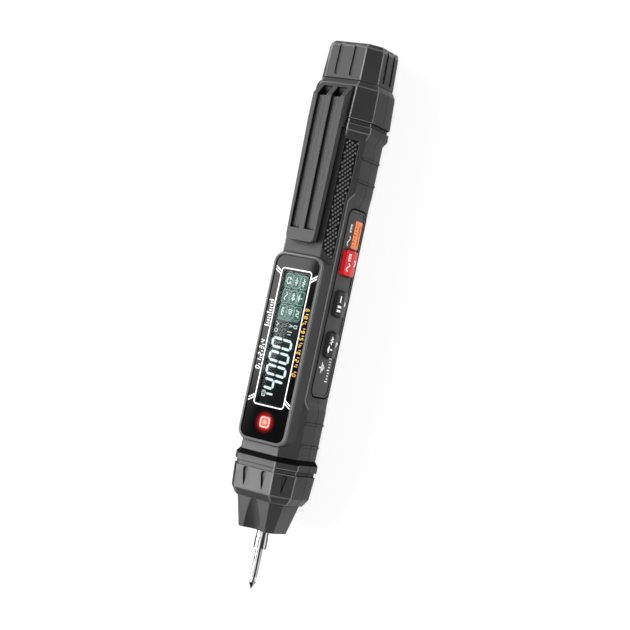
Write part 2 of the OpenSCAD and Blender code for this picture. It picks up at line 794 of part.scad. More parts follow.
// Cap over the neck, with eight grooves and the way in for a plug
module tail_cap() color("dimgray") on_axis() {
  y_low = y_shoulder + fit_gap;
  groove_end = y_shoulder + shoulder_len;
  difference() {
    loft([[y_tail, section(cap_end_w, cap_end_d, cap_end_shares)],
      [y_tail - cap_bevel, section(cap_mid_w, cap_mid_d, cap_shares)],
      [y_low, section(cap_w, cap_d, cap_shares)]]);
    y_rod([0, y_low - cut, 0], neck_r + round_gap, neck_end - y_low + cut + fit_gap);
    y_rod([0, y_low, 0], plug_way_r, huge);
    front_and_back() for (x = [-cap_groove_x, cap_groove_x])
      cap_groove([x, groove_end, cap_d / 2], 0);
    both_sides() for (z = [-cap_groove_z, cap_groove_z])
      cap_groove([cap_w / 2, groove_end, z], 90);
  }
}

// One groove in a face of the cap, turned about the pen's length
module cap_groove(place, turn) {
  drop = turn == 0 ? (cap_d - cap_mid_d) / 2 : (cap_w - cap_mid_w) / 2;
  tilt = atan2(drop, cap_len - cap_bevel);
  translate(place) rotate([0, turn, 0]) rotate([-tilt, 0, 0]) translate([0, 0, -cap_groove_depth]) {
    linear_extrude(2 * cut) {
      circle(d = cap_groove_w);
      translate([-cap_groove_w / 2, 0]) square([cap_groove_w, cap_len]);
    }
  }
}

// Sliding door over the cells, with guide ribs, a tongue and finger grooves
module battery_door() color("dimgray") on_axis() {
  top = back_z - fit_gap / 2;
  low = top - door_t;
  rib_in = opening_x - run_gap - bay_wall;
  rib_top = back_z + wall - fit_gap;
  rib_tip = bay_tip + door_travel + run_gap;
  rib_tail = bay_tail - run_gap;
  door_tip = bay_tip - door_lap;
  door_tail = bay_tail + door_lap;
  grooves = 4;
  difference() {
    union() {
      block([-door_w / 2, door_tip, low], [door_w / 2, door_tail, top]);
      both_sides() block([rib_in, rib_tip, top], [rib_in + bay_wall, rib_tail, rib_top]);
      block([-tongue_w / 2, rib_tail - 2 * door_t, top],
        [tongue_w / 2, rib_tail, rib_top + 2 * fit_gap + door_t]);
      block([-tongue_w / 2, rib_tail, rib_top + 2 * fit_gap],
        [tongue_w / 2, bay_tail + tongue_len, rib_top + 2 * fit_gap + door_t]);
    }
    for (i = [1:grooves])
      block([-door_w / 4, door_tail - (2 * i + 1) * ridge_w, low - cut],
        [door_w / 4, door_tail - 2 * i * ridge_w, low + door_t / 2]);
  }
}

// Root of the pocket clip: the ramp and the block that stands on the collar
module clip_root() color("dimgray") on_axis() {
  half = clip_w / 2;
  low = front_z - wall;
  pocket_tip = clip_y - clip_ramp - clip_start;
  pocket_tail = clip_y - clip_ramp / 4;
  difference() {
    translate([-half, 0, 0]) rotate([90, 0, 90]) linear_extrude(clip_w)
      polygon([[clip_y, low], [clip_y, front_z + clip_start], [clip_y - clip_ramp, clip_top],
        [hinge_y, clip_top], [hinge_y, low]]);
    housing_form();
    translate([-huge / 2, hinge_y, hinge_z]) rotate([0, 90, 0])
      cylinder(h = huge, r = clip_t / 2 + run_gap);
    block([-huge, -huge, clip_top - clip_t - huge], [huge, hinge_y + clip_t / 2, hinge_z]);
    both_sides() {
      block([channel_in, -huge, clip_top - channel_depth], [channel_out, pocket_tip, huge]);
      block([channel_in, pocket_tip - cut / 2, collar_d / 2 + fit_gap], [channel_out, pocket_tail, huge]);
    }
  }
}

// Springy arm of the pocket clip, which turns about the line where it leaves the root
module clip_arm() color("dimgray") on_axis() {
  end_y = hinge_y - clip_arm_len;
  end_z = clip_top - clip_fall;
  half = clip_w / 2;
  end_half = clip_end_w / 2;
  difference() {
    intersection() {
      union() {
        translate([-half, 0, 0]) rotate([90, 0, 90]) linear_extrude(clip_w)
          polygon([[hinge_y, clip_top], [hinge_y, clip_top - clip_t], [end_y, end_z - clip_t],
            [end_y, end_z]]);
        translate([-half, hinge_y, hinge_z]) rotate([0, 90, 0]) cylinder(h = clip_w, r = clip_t / 2);
      }
      translate([0, 0, hinge_z - clip_t]) linear_extrude(2 * clip_t) {
        polygon([[half, hinge_y + clip_t], [half, hinge_y], [end_half, end_y + clip_r],
          [-end_half, end_y + clip_r], [-half, hinge_y], [-half, hinge_y + clip_t]]);
        translate([-end_half + clip_r, end_y]) square([clip_end_w - 2 * clip_r, 2 * clip_r]);
        for (x = [-1, 1]) translate([x * (end_half - clip_r), end_y + clip_r]) circle(r = clip_r);
      }
    }
    both_sides() translate([0, hinge_y, clip_top - channel_depth]) rotate([atan(clip_slope), 0, 0])
      block([channel_in, clip_end_plain - clip_arm_len, 0], [channel_out, 2 * clip_t, huge]);
  }
}

// Knurled grip panels, let into the sloping faces beside the display side
module grip_pad_right() color("#262626") on_axis() pad_solid(0, 0);
module grip_pad_left() color("#262626") on_axis() mirror([1, 0, 0]) pad_solid(0, 0);

// Plate round the three buttons, with a raised rim
module side_plate() color("#404040") on_axis() difference() {
  side_slab(plate_len, plate_h, plate_r, plate_seat, recess_y, plate_t);
  side_slab(plate_len - 2 * plate_rim, plate_h - 2 * plate_rim, plate_r - plate_rim,
    plate_top - plate_floor_drop, recess_y, cut);
  button_hole(power_len, power_h, power_y);
  button_hole(key_len, key_h, hold_y);
  button_hole(key_len, key_h, sense_y);
}

// Hole in the side plate for one button
module button_hole(length, h, y) {
  side_slab(length + 2 * run_gap, h + 2 * run_gap, button_r + run_gap, plate_seat - cut, y, huge);
}

// One button: a ridged cap, the flange that keeps it in, and the pin over its switch
module button(length, h, rise, y) {
  peak = recess_x + rise;
  half = h / 2;
  intersection() {
    side_slab(length, h, button_r, flange_top - fit_gap, y, huge);
    translate([0, y + length / 2, core_z]) rotate([90, 0, 0]) linear_extrude(length)
      polygon([[flange_bottom, -half], [peak - button_roof, -half], [peak, 0], [peak - button_roof, half],
        [flange_bottom, half]]);
  }
  side_slab(length + 2 * flange_w, h + 2 * flange_w, button_r, flange_bottom, y, flange_t);
}

module power_button() color("crimson") on_axis() button(power_len, power_h, power_rise, power_y);
module hold_button() color("#202020") on_axis() button(key_len, key_h, key_rise, hold_y);
module sense_button() color("#202020") on_axis() button(key_len, key_h, key_rise, sense_y);

// Glossy window over the panel, with a hole for the indicator's lens
module display_window() color("#101010") on_axis() difference() {
  flat_plate(window_w, window_len, window_r, display_y, window_floor, window_t);
  flat_plate(indicator_w + 2 * fit_gap, indicator_len + 2 * fit_gap, indicator_r + fit_gap,
    indicator_y, window_floor - cut, window_t + 2 * cut);
}

// Square lens and light guide of the voltage indicator
module indicator_lens() color("red") on_axis()
  flat_plate(indicator_w, indicator_len, indicator_r, indicator_y, board_top + indicator_led_h + fit_gap,
    window_top - board_top - indicator_led_h - fit_gap);

// Liquid crystal panel
module lcd_panel() color("#223038") on_axis()
  block([-lcd_w / 2, lcd_y - lcd_len / 2, lcd_bottom], [lcd_w / 2, lcd_y + lcd_len / 2, lcd_top]);

// Backlight plate under the panel
module backlight() color("white") on_axis()
  block([-backlight_x, lcd_y - backlight_y, lcd_bottom - fit_gap - backlight_t],
    [backlight_x, lcd_y + backlight_y, lcd_bottom - fit_gap]);

// Frame that carries the panel on the main board, with a shelf for the backlight
module lcd_frame() color("ivory") on_axis() {
  top = lcd_bottom;
  x = lcd_w / 2;
  y = lcd_len / 2;
  shelf = lcd_bottom - 2 * fit_gap - backlight_t;
  difference() {
    block([-x, lcd_y - y, board_top], [x, lcd_y + y, top]);
    block([lcd_frame_wall - x, lcd_y - y + lcd_frame_wall, board_top - cut],
      [x - lcd_frame_wall, lcd_y + y - lcd_frame_wall, top + cut]);
  }
  for (side = [-1, 1]) translate([0, lcd_y + side * (y - lcd_frame_wall - strip_w / 2), 0])
    block([-x + lcd_frame_wall / 2, -strip_w / 2 - fit_gap, board_top],
      [x - lcd_frame_wall / 2, strip_w / 2 + fit_gap, shelf]);
}

// Two rubber contact strips between the board and the panel
module contact_strips() color("pink") on_axis() both_sides() {
  x = lcd_w / 2 - lcd_frame_wall - fit_gap;
  y = lcd_len / 2 - lcd_frame_wall - strip_w - 2 * fit_gap;
  block([x - strip_w, lcd_y - y, board_top], [x, lcd_y + y, lcd_bottom]);
}

// Main circuit board
module main_board() color("darkgreen") on_axis()
  block([-board_w / 2, board_tip, board_z], [board_w / 2, board_tail, board_top]);

// Measuring chip with its rows of pins, on the board behind the panel
module measuring_chip() color("#202020") on_axis() {
  y = lcd_y + lcd_len / 2 + chip_w;
  pins = 10;
  pin_pitch = chip_w / (pins + 1);
  pin_w = pin_pitch / 2;
  block([-chip_w / 2, y - chip_w / 2, board_top + chip_t / 10],
    [chip_w / 2, y + chip_w / 2, board_top + chip_t]);
  both_sides() for (i = [1:pins])
    block([chip_w / 2 - pin_w, y - chip_w / 2 + i * pin_pitch - pin_w / 2, board_top],
      [chip_w / 2 + pin_w, y - chip_w / 2 + i * pin_pitch + pin_w / 2, board_top + chip_t / 2]);
}

// Larger parts on the board: a protective resistor, two capacitors and a crystal can
module circuit_parts() color("goldenrod") on_axis() {
  y = lcd_y + lcd_len / 2 + 2 * chip_w;
  z_rod([-chip_w / 4, y + chip_w / 4, board_top], chip_w / 4, chip_t);
  for (i = [0, 1]) z_rod([chip_w / 4, y + i * chip_w / 2, board_top], chip_w / 6, 2 * chip_t);
  block([-chip_w / 2, y + 3 * chip_w / 4, board_top], [0, y + 3 * chip_w / 4 + chip_t, board_top + chip_t]);
}

// Light source under the indicator's lens
module indicator_led() color("salmon") on_axis()
  block([-indicator_w / 3, indicator_y - indicator_len / 3, board_top],
    [indicator_w / 3, indicator_y + indicator_len / 3, board_top + indicator_led_h]);

// Upright board that carries the switches, under the edge of the main board
module button_board() color("darkgreen") on_axis()
  block([button_board_x, recess_y - button_board_len / 2, board_z - button_board_h],
    [button_board_x + board_t, recess_y + button_board_len / 2, board_z]);

// Three tact switches behind the buttons
module tact_switches() color("silver") on_axis() for (y = [power_y, hold_y, sense_y]) {
  block([switch_x, y - switch_w / 2, core_z - switch_w / 2],
    [switch_x + switch_t, y + switch_w / 2, core_z + switch_w / 2]);
  translate([switch_x + switch_t / 2, y, core_z]) rotate([0, 90, 0])
    cylinder(h = plunger_end - switch_x - switch_t / 2, r = plunger_r);
}

// Round buzzer under the main board, in the nose
module buzzer() color("#202020") on_axis() difference() {
  z_rod([0, buzzer_y, board_z - buzzer_h], buzzer_r, buzzer_h);
  z_rod([0, buzzer_y, board_z - buzzer_h - cut], plunger_r, buzzer_h / 2);
}

// Copper strip that senses voltage through the nose
module sensing_antenna() color("orange") on_axis() {
  half = board_w / 6;
  block([-half, board_tip - wall, board_top], [half, board_tip + 2 * wall, board_top + contact_t]);
  block([-half, cavity_tip + fit_gap, board_top], [half, board_tip - wall, board_top + contact_t]);
}

// Metal sleeve that stands out of the cone round the needle
module probe_sleeve() color("gainsboro") on_axis() difference() {
  union() {
    y_rod([0, y_sleeve_end, core_z], sleeve_r, cavity_tip - y_sleeve_end);
    y_rod([0, y_sleeve_end, core_z], sleeve_ring_r, sleeve_ring_len);
  }
  y_rod([0, y_sleeve_end - cut, core_z], shank_r + round_gap, huge);
}

// Probe needle with its necked, pointed tip
module probe_needle() color("gainsboro") on_axis() {
  y_rod([0, y_needle_end, core_z], needle_r, needle_out);
  y_rod([0, y_needle_end, core_z], shank_r, cavity_tip + contact_t - y_needle_end);
  translate([0, 0, core_z]) rotate([90, 0, 0]) rotate_extrude()
    polygon([[0, -y_needle_end - contact_t], [needle_neck_r, -y_needle_end - contact_t],
      [needle_neck_r, -y_needle_end + needle_neck_len],
      [needle_r, -y_needle_end + needle_neck_len + point_back], [0, -y_point]]);
}

// Contact strip from the back of the needle to the board
module probe_contact() color("gold") on_axis() {
  half = needle_r;
  y = cavity_tip + contact_t + fit_gap;
  block([-half, y, core_z - needle_r], [half, y + contact_t, board_z]);
  block([-half, y + contact_t, board_z - contact_t], [half, board_tip + wall, board_z]);
}

// Socket in the tail that takes a 4 mm lead plug
module com_socket() color("gainsboro") on_axis() difference() {
  union() {
    y_rod([0, cavity_tail, 0], socket_r, socket_tail - cavity_tail);
    y_rod([0, neck_end - 2 * socket_flange_t, 0], socket_flange_r, socket_flange_t);
  }
  y_rod([0, socket_tail - socket_depth, 0], socket_bore_r, huge);
}

// Strip from the socket to the board
module socket_terminal() color("gold") on_axis() {
  half = socket_bore_r / 2;
  block([-half, cavity_tail - contact_t, -socket_bore_r], [half, cavity_tail, board_top + contact_t]);
  block([-half, board_tail - wall, board_top], [half, cavity_tail - contact_t, board_top + contact_t]);
}

// One cell with its positive cap toward the tail
module cell(y) {
  y_rod([0, y, cell_z], cell_r, cell_len - cell_cap_h);
  y_rod([0, y + cell_len - cell_cap_h, cell_z], cell_cap_r, cell_cap_h);
}

module battery_cell_tail() color("steelblue") on_axis() cell(tail_cell_y);
module battery_cell_tip() color("steelblue") on_axis() cell(tip_cell_y);

// Flat contact at the tail end of the bay
module tail_contact() color("silver") on_axis()
  block([-contact_half, bay_tail - contact_t, contact_low],
    [contact_half, bay_tail, cell_z + contact_half]);

// Ring of points round one place of the spring's wire
function wire_ring(p, u, v, sides) =
  [for (i = [0:sides - 1]) let (a = 360 * i / sides) p + wire_r * (cos(a) * u + sin(a) * v)];

// Conical spring with its contact plate at the tip end of the bay
module battery_spring() color("silver") on_axis() {
  steps = 16;
  sides = 6;
  count = steps * spring_turns;
  wide = cell_r - 2 * wire_r;
  narrow = cell_cap_r;
  rings = [for (i = [0:count]) let (t = i / count, a = 360 * i / steps, r = wide + (narrow - wide) * t,
      y = spring_y - wire_r / 2 + (spring_len - wire_r / 2) * t)
    wire_ring([r * cos(a), y, cell_z + r * sin(a)], [cos(a), 0, sin(a)], [0, 1, 0], sides)];
  points = [for (ring = rings) for (p = ring) p];
  skin = [for (i = [0:count - 1]) for (j = [0:sides - 1])
    let (k = (j + 1) % sides, m = i * sides, n = m + sides)
    each [[m + j, n + j, m + k], [m + k, n + j, n + k]]];
  first_end = [for (j = [0:sides - 1]) j];
  last_end = [for (j = [sides - 1:-1:0]) count * sides + j];
  polyhedron(points, concat([first_end], skin, [last_end]));
  block([-contact_half, spring_y - contact_t, contact_low],
    [contact_half, spring_y, cell_z + contact_half]);
}

// Four screws that hold the shells together
module shell_screws() color("silver") on_axis() at_screws() difference() {
  union() {
    z_rod([0, 0, screw_head_z], screw_r, screw_len);
    z_rod([0, 0, screw_head_z - screw_head_h], screw_head_r, screw_head_h);
  }
  block([-screw_head_r, -screw_r / 4, -huge], [screw_head_r, screw_r / 4, screw_head_z - screw_head_h / 2]);
  block([-screw_r / 4, -screw_head_r, -huge], [screw_r / 4, screw_head_r, screw_head_z - screw_head_h / 2]);
}

front_shell();
rear_shell();
nose_cone();
tail_cap();
battery_door();
clip_root();
clip_arm();
grip_pad_right();
grip_pad_left();
side_plate();
power_button();
hold_button();
sense_button();
display_window();
indicator_lens();
lcd_panel();
backlight();
lcd_frame();
contact_strips();
main_board();
measuring_chip();
circuit_parts();
indicator_led();
button_board();
tact_switches();
buzzer();
sensing_antenna();
probe_sleeve();
probe_needle();
probe_contact();
com_socket();
socket_terminal();
battery_cell_tail();
battery_cell_tip();
tail_contact();
battery_spring();
shell_screws();
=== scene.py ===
"""Looks of a pen multimeter around its CAD frame: finishes, mouldings, display, marks and studio.

The classes hold their sizes in millimetres, in the frame's own axes: +X out of the button side,
+Y toward the tail cap, +Z out of the display side, with the pen lying on its back at Z = 0.
"""

from __future__ import annotations

import functools
import logging
import math
from dataclasses import dataclass
from enum import Enum
from typing import Any, Callable, Iterable, Sequence, Union

import bmesh
import bpy
from mathutils import Matrix, Vector

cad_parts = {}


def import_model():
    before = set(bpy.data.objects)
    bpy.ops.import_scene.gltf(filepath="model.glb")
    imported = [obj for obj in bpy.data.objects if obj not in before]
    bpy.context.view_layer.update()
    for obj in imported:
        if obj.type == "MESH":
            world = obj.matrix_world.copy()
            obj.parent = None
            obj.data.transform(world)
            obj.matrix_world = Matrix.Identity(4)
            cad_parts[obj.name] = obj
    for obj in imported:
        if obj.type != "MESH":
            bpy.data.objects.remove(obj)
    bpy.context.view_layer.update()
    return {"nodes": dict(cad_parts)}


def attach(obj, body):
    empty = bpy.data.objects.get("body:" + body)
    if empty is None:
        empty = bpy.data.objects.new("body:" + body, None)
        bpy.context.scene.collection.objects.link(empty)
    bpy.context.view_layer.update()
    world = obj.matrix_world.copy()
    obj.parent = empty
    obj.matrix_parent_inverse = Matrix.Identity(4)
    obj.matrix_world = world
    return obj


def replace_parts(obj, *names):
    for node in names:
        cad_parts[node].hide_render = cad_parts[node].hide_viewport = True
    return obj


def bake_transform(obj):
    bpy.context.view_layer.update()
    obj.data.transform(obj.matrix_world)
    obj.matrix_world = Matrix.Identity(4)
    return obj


LOG = logging.getLogger("pen_multimeter")
MM = 0.001
Point2 = tuple[float, float]
Point3 = tuple[float, float, float]
Colour = tuple[float, float, float]
Number = Union[float, "Wire"]
# Middle of the square indicator, and the segments that show the numbers 0 to 9.
LENS_PLACE: Point2 = (0.0, -39.9)
SEGMENTS = ("abcdef", "bc", "abged", "abgcd", "fgbc", "afgcd", "afgcde", "abc", "abcdefg", "abcdfg")


def grey(level: float) -> Colour:
    """A grey of that level."""
    return (level, level, level)


# The second of these, a near black, is the colour of painted shade in gaps and grooves, and also the
# panel's own dark face.
NIGHT, NEAR_BLACK, LIGHT = grey(0.0), grey(0.001), grey(1.0)


class Body(Enum):
    """Bodies of the frame that a piece can ride on."""

    HOUSING = "housing"
    CAP = "cap"
    DOOR = "door"
    POWER = "power_key"
    HOLD = "hold_key"
    SENSE = "sense_key"


class Cut(Enum):
    """What one solid does to another."""

    AWAY = "DIFFERENCE"
    TRIM = "INTERSECT"


class Slot(Enum):
    """Material slots of the record, passed along with the new pieces but not set on them."""

    HOUSING = "housing_plastic"
    GRIP = "grip_plastic"
    PLATE = "plate_plastic"
    POWER = "power_key"
    KEY = "black_key"
    WINDOW = "window_gloss"
    PANEL = "panel_glass"


@dataclass(frozen=True)
class Wire:
    """One output socket, with arithmetic that adds the Math nodes it needs."""

    shade: "Tree"
    socket: Any

    def _math(self, operation: str, *values: Number) -> "Wire":
        """Result of a Math node on numbers or wires, in socket order."""
        return self.shade.wire("ShaderNodeMath", 0, {"operation": operation}, dict(enumerate(values)))

    def __add__(self, other: Number) -> "Wire":
        """self + other."""
        return self._math("ADD", self, other)

    __radd__ = __add__

    def __sub__(self, other: Number) -> "Wire":
        """self - other."""
        return self._math("SUBTRACT", self, other)

    def __rsub__(self, other: Number) -> "Wire":
        """other - self."""
        return self._math("SUBTRACT", other, self)

    def __mul__(self, other: Number) -> "Wire":
        """self * other."""
        return self._math("MULTIPLY", self, other)

    __rmul__ = __mul__

    def __truediv__(self, other: Number) -> "Wire":
        """self / other."""
        return self._math("DIVIDE", self, other)

    def __rtruediv__(self, other: Number) -> "Wire":
        """other / self."""
        return self._math("DIVIDE", other, self)

    def __pow__(self, other: Number) -> "Wire":
        """self to the power of other."""
        return self._math("POWER", self, other)

    def __rpow__(self, other: Number) -> "Wire":
        """other to the power of self."""
        return self._math("POWER", other, self)

    def least(self, other: Number) -> "Wire":
        """The smaller of self and other."""
        return self._math("MINIMUM", self, other)

    def most(self, other: Number) -> "Wire":
        """The larger of self and other."""
        return self._math("MAXIMUM", self, other)

    def step(self, low: float, high: float, out: Point2 = (0.0, 1.0)) -> "Wire":
        """Smooth step of self.

        Args:
            low: value at which the step starts.
            high: value at which it ends.
            out: results at low and high.

        Returns:
            The stepped value.
        """
        ends = {"From Min": low, "From Max": high, "To Min": out[0], "To Max": out[1]}
        return self.shade.wire("ShaderNodeMapRange", "Result", {"interpolation_type": "SMOOTHSTEP"},
                               {"Value": self, **ends})

    def fall(self, low: float, high: float) -> "Wire":
        """1 up to low, then smoothly down to 0 at high."""
        return self.step(low, high, (1.0, 0.0))

    def swing(self, width: float) -> "Wire":
        """Noise between 0 and 1 as a shift to both sides of 0, width wide in all."""
        return (self - 0.5) * width


class Tree:
    """A node tree in the making."""

    def __init__(self, owner: bpy.types.Material | bpy.types.World) -> None:
        """Starts an empty tree.

        Args:
            owner: the material or world that shows it.
        """
        owner.use_nodes = True
        self.tree = owner.node_tree
        self.tree.nodes.clear()

    def node(self, kind: str, settings: dict[str, Any] | None = None,
             sockets: dict[Any, Any] | None = None) -> Any:
        """Adds a node.

        Args:
            kind: Blender's type name.
            settings: attributes to set first.
            sockets: values or wires by socket name or number; a colour may have three numbers,
                and None leaves a socket as it is.

        Returns:
            The node.
        """
        made = self.tree.nodes.new(kind)
        for key, value in (settings or {}).items():
            setattr(made, key, value)
        for key, value in (sockets or {}).items():
            entry = made.inputs[key]
            if isinstance(value, Wire):
                self.tree.links.new(value.socket, entry)
            elif isinstance(value, tuple) and len(value) < len(entry.default_value):
                entry.default_value = (*value, 1.0)
            elif value is not None:
                entry.default_value = value
        return made

    def wire(self, kind: str, output: Any = 0, settings: dict[str, Any] | None = None,
             sockets: dict[Any, Any] | None = None) -> Wire:
        """Output of that name or number of a new node, given as for node()."""
        return Wire(self, self.node(kind, settings, sockets).outputs[output])

    def seen(self) -> Wire:
        """How far what arrives is seen.

        Returns:
            1 where a ray from the camera, a mirror or a clear pane arrives, else 0.
        """
        paths = self.node("ShaderNodeLightPath")
        camera, glossy, clear = (Wire(self, paths.outputs[f"Is {name} Ray"])
                                 for name in ("Camera", "Glossy", "Transmission"))
        return camera.most(glossy).most(clear)


class Shade(Tree):
    """A material in the making."""

    def __init__(self, name: str) -> None:
        """Starts an empty material of that name."""
        self.material = bpy.data.materials.new(name)
        super().__init__(self.material)

    @functools.cached_property
    def places(self) -> Wire:
        """Place on the object, in metres of the frame."""
        return self.wire("ShaderNodeTexCoord", "Object")

    def axes(self) -> tuple[Wire, ...]:
        """The place's X, Y and Z in millimetres."""
        split = self.node("ShaderNodeSeparateXYZ", {}, {0: self.places})
        return tuple(Wire(self, socket) / MM for socket in split.outputs)

    def noise(self, size: float, detail: float = 2.0, roughness: float = 0.5, along: float = 1.0,
              across: float = 1.0) -> Wire:
        """Noise in space.

        Args:
            size: width of one blot, in mm.
            detail: number of octaves.
            roughness: weight of the fine octaves.
            along: scale along the pen; below 1 makes the blots longer that way.
            across: the same across the pen.

        Returns:
            Values round 0.5.
        """
        mapped = self.wire("ShaderNodeMapping", 0, {},
                           {"Vector": self.places, "Scale": (across, along, across)})
        return self.wire("ShaderNodeTexNoise", "Fac", {}, {
            "Vector": mapped, "Scale": 1.0 / (size * MM), "Detail": detail, "Roughness": roughness})

    def cells(self, size: float) -> Wire:
        """Distance to the nearest of points scattered size mm apart, as a share of that."""
        return self.wire("ShaderNodeTexVoronoi", "Distance", {"feature": "F1"},
                         {"Vector": self.places, "Scale": 1.0 / (size * MM)})

    def mix(self, share: Number, a: Colour | Wire, b: Colour | Wire) -> Wire:
        """Colours a and b, mixed with that share of b."""
        return self.wire("ShaderNodeMix", 2, {"data_type": "RGBA"}, {0: share, 6: a, 7: b})

    def spread(self, share: Number, colour: Colour, tones: Point2) -> Wire:
        """One colour from tones[0] times as bright, where share is 0, to tones[1] times, at 1."""
        return self.mix(share, *(tuple(part * tone for part in colour) for tone in tones))

    def rounded(self, radius: float) -> Wire:
        """Normal that rounds the edges by a radius in mm."""
        return self.wire("ShaderNodeBevel", 0, {"samples": 6}, {"Radius": radius * MM})

    def crevice(self, reach: float) -> Wire:
        """0 in gaps that are narrow beside reach, in mm, to 1 in the open."""
        return self.wire("ShaderNodeAmbientOcclusion", "AO", {"samples": 8}, {"Distance": reach * MM})

    def bump(self, height: Wire, depth: float, normal: Wire | None = None) -> Wire:
        """Normal of a relief.

        Args:
            height: 0 to 1.
            depth: how deep 0 lies under 1, in mm.
            normal: normal that the relief stands on.

        Returns:
            The normal.
        """
        return self.wire("ShaderNodeBump", 0, {}, {
            "Height": height, "Distance": depth * MM, "Strength": 1.0, "Normal": normal})

    def principled(self, sockets: dict[str, Any]) -> Wire:
        """The surface shader, with values or wires by socket name."""
        return self.wire("ShaderNodeBsdfPrincipled", 0, {}, sockets)

    def emission(self, colour: Colour | Wire, strength: float) -> Wire:
        """A shader that glows."""
        return self.wire("ShaderNodeEmission", 0, {}, {"Color": colour, "Strength": strength})

    def blend(self, share: Wire, a: Wire, b: Wire) -> Wire:
        """Shaders a and b, mixed with that share of b."""
        return self.wire("ShaderNodeMixShader", 0, {}, {0: share, 1: a, 2: b})

    def over(self, shown: Wire, surface: Wire) -> Wire:
        """A surface that fades into a dark shader, a painted shade, where shown falls to 0."""
        dark = {"Base Color": NEAR_BLACK, "Roughness": 0.9, "Specular IOR Level": 0.05}
        return self.blend(shown, self.principled(dark), surface)

    def matt(self, blot: float, tones: Point2, roughness: float) -> Wire:
        """A matt grey surface, cloudy between two tones, with blots of a size in mm."""
        tone = self.mix(self.noise(blot, 3.0, 0.5), grey(tones[0]), grey(tones[1]))
        return self.principled({"Base Color": tone, "Roughness": roughness, "Specular IOR Level": 0.1})


@dataclass(frozen=True)
class Look:
    """A finish, from which a material is made."""

    name: str

    def surface(self, shade: Shade) -> Wire:
        """The finish's shader, in the material in the making."""
        raise NotImplementedError(self.name)

    def build(self) -> bpy.types.Material:
        """Makes the material.

        Returns:
            The material.
        """
        shade = Shade(self.name)
        shade.node("ShaderNodeOutputMaterial", {}, {"Surface": self.surface(shade)})
        return shade.material


@dataclass(frozen=True)
class MouldedPlastic(Look):
    """Injection-moulded plastic with a fine spark-eroded grain, with painted shade in its narrow gaps.
    """

    colour: Colour
    roughness: float = 0.4
    grain: float = 0.35
    grain_depth: float = 0.006
    edge: float = 0.1
    specular: float = 0.5
    # Reach of the painted shade in gaps, in mm.
    gap: float = 1.8
    shade_shares: Point2 = (0.3, 0.92)
    cloud: float = 14.0
    fleck: float = 2.2
    tones: Point2 = (0.85, 1.15)

    def surface(self, shade: Shade) -> Wire:
        """Grain, clouds and flecks that run with the flow of the plastic, and painted shade in its
        gaps.

        Args:
            shade: the material in the making.

        Returns:
            Its shader.
        """
        grain = shade.noise(self.grain, 3.0, 0.6)
        cloud = shade.noise(self.cloud, 3.0, 0.55)
        fleck = shade.noise(self.fleck, 2.0, 0.5, along=0.25)
        share = (0.5 + (cloud.swing(0.5) + fleck.swing(0.25))).least(1.0).most(0.0)
        tone = shade.spread(share, self.colour, self.tones)
        # Painted shade: where ambient occlusion finds a narrow gap, the colour runs to near black and
        # the surface fades into a dark shader.
        unshaded_share = shade.crevice(self.gap).step(*self.shade_shares)
        rough = (1.0 - unshaded_share) * 0.5 + self.roughness + cloud.swing(0.1) + grain.swing(0.08)
        return shade.over(unshaded_share, shade.principled({
            "Base Color": shade.mix(unshaded_share, NEAR_BLACK, tone),
            "Roughness": rough,
            "Specular IOR Level": self.specular,
            "Normal": shade.bump(grain, self.grain_depth, shade.rounded(self.edge)),
        }))


@dataclass(frozen=True)
class GlossPlastic(Look):
    """Polished plastic with a few soft smears."""

    colour: Colour
    roughness: float = 0.12
    edge: float = 0.15
    smear: float = 9.0
    ripple: float = 1.6
    ripple_depth: float = 0.0015
    tones: Point2 = (0.88, 1.12)

    def surface(self, shade: Shade) -> Wire:
        """Smears over a faint ripple.

        Args:
            shade: the material in the making.

        Returns:
            Its shader.
        """
        rounded = shade.rounded(self.edge)
        smear = shade.noise(self.smear, 4.0, 0.6, along=0.4)
        ripple = shade.noise(self.ripple, 1.0, 0.4)
        return shade.principled({
            "Base Color": shade.spread(smear, self.colour, self.tones),
            "Roughness": self.roughness + smear.swing(0.09),
            "Normal": shade.bump(ripple, self.ripple_depth, rounded),
        })


@dataclass(frozen=True)
class SoftRubber(Look):
    """Matt rubbery plastic."""

    colour: Colour
    roughness: float = 0.62
    grain: float = 0.22
    grain_depth: float = 0.01
    edge: float = 0.1
    specular: float = 0.5
    cloud: float = 6.0
    tones: Point2 = (0.7, 1.3)

    def surface(self, shade: Shade) -> Wire:
        """Pebbled grain and clouds.

        Args:
            shade: the material in the making.

        Returns:
            Its shader.
        """
        rounded = shade.rounded(self.edge)
        grain = shade.cells(self.grain)
        cloud = shade.noise(self.cloud, 3.0, 0.6)
        return shade.principled({
            "Base Color": shade.spread(cloud, self.colour, self.tones),
            "Roughness": self.roughness + cloud.swing(0.15),
            "Specular IOR Level": self.specular,
            "Normal": shade.bump(grain, self.grain_depth, rounded),
        })


@dataclass(frozen=True)
class BrightMetal(Look):
    """Turned and plated metal with fine tool marks round the axis, and painted dark rims."""

    colour: Colour
    roughness: float = 0.08
    mark_pitch: float = 0.16
    mark_depth: float = 0.0012
    edge: float = 0.08
    turning: Point2 = (0.25, 0.5)
    rim: float = 0.985
    cloud: float = 5.0
    tones: Point2 = (0.9, 1.0)

    def surface(self, shade: Shade) -> Wire:
        """Tool marks and a thin haze, with a painted shade where it turns away from the eye.

        Args:
            shade: the material in the making.

        Returns:
            Its shader.
        """
        rounded = shade.rounded(self.edge)
        lines = shade.noise(self.mark_pitch, 2.0, 0.5, across=0.05)
        cloud = shade.noise(self.cloud, 3.0, 0.6)
        facing = shade.wire("ShaderNodeLayerWeight", "Facing", {}, {"Blend": 0.5})
        metal = shade.principled({
            "Base Color": shade.spread(cloud, self.colour, self.tones),
            "Metallic": 1.0,
            "Roughness": self.roughness + cloud.swing(0.06) + lines.swing(0.05),
            "Normal": shade.bump(lines, self.mark_depth, rounded),
        })
        # Painted shade: the metal fades into a dark shader as it turns away from the eye.
        return shade.over(facing.step(*self.turning, (1.0, 1.0 - self.rim)), metal)


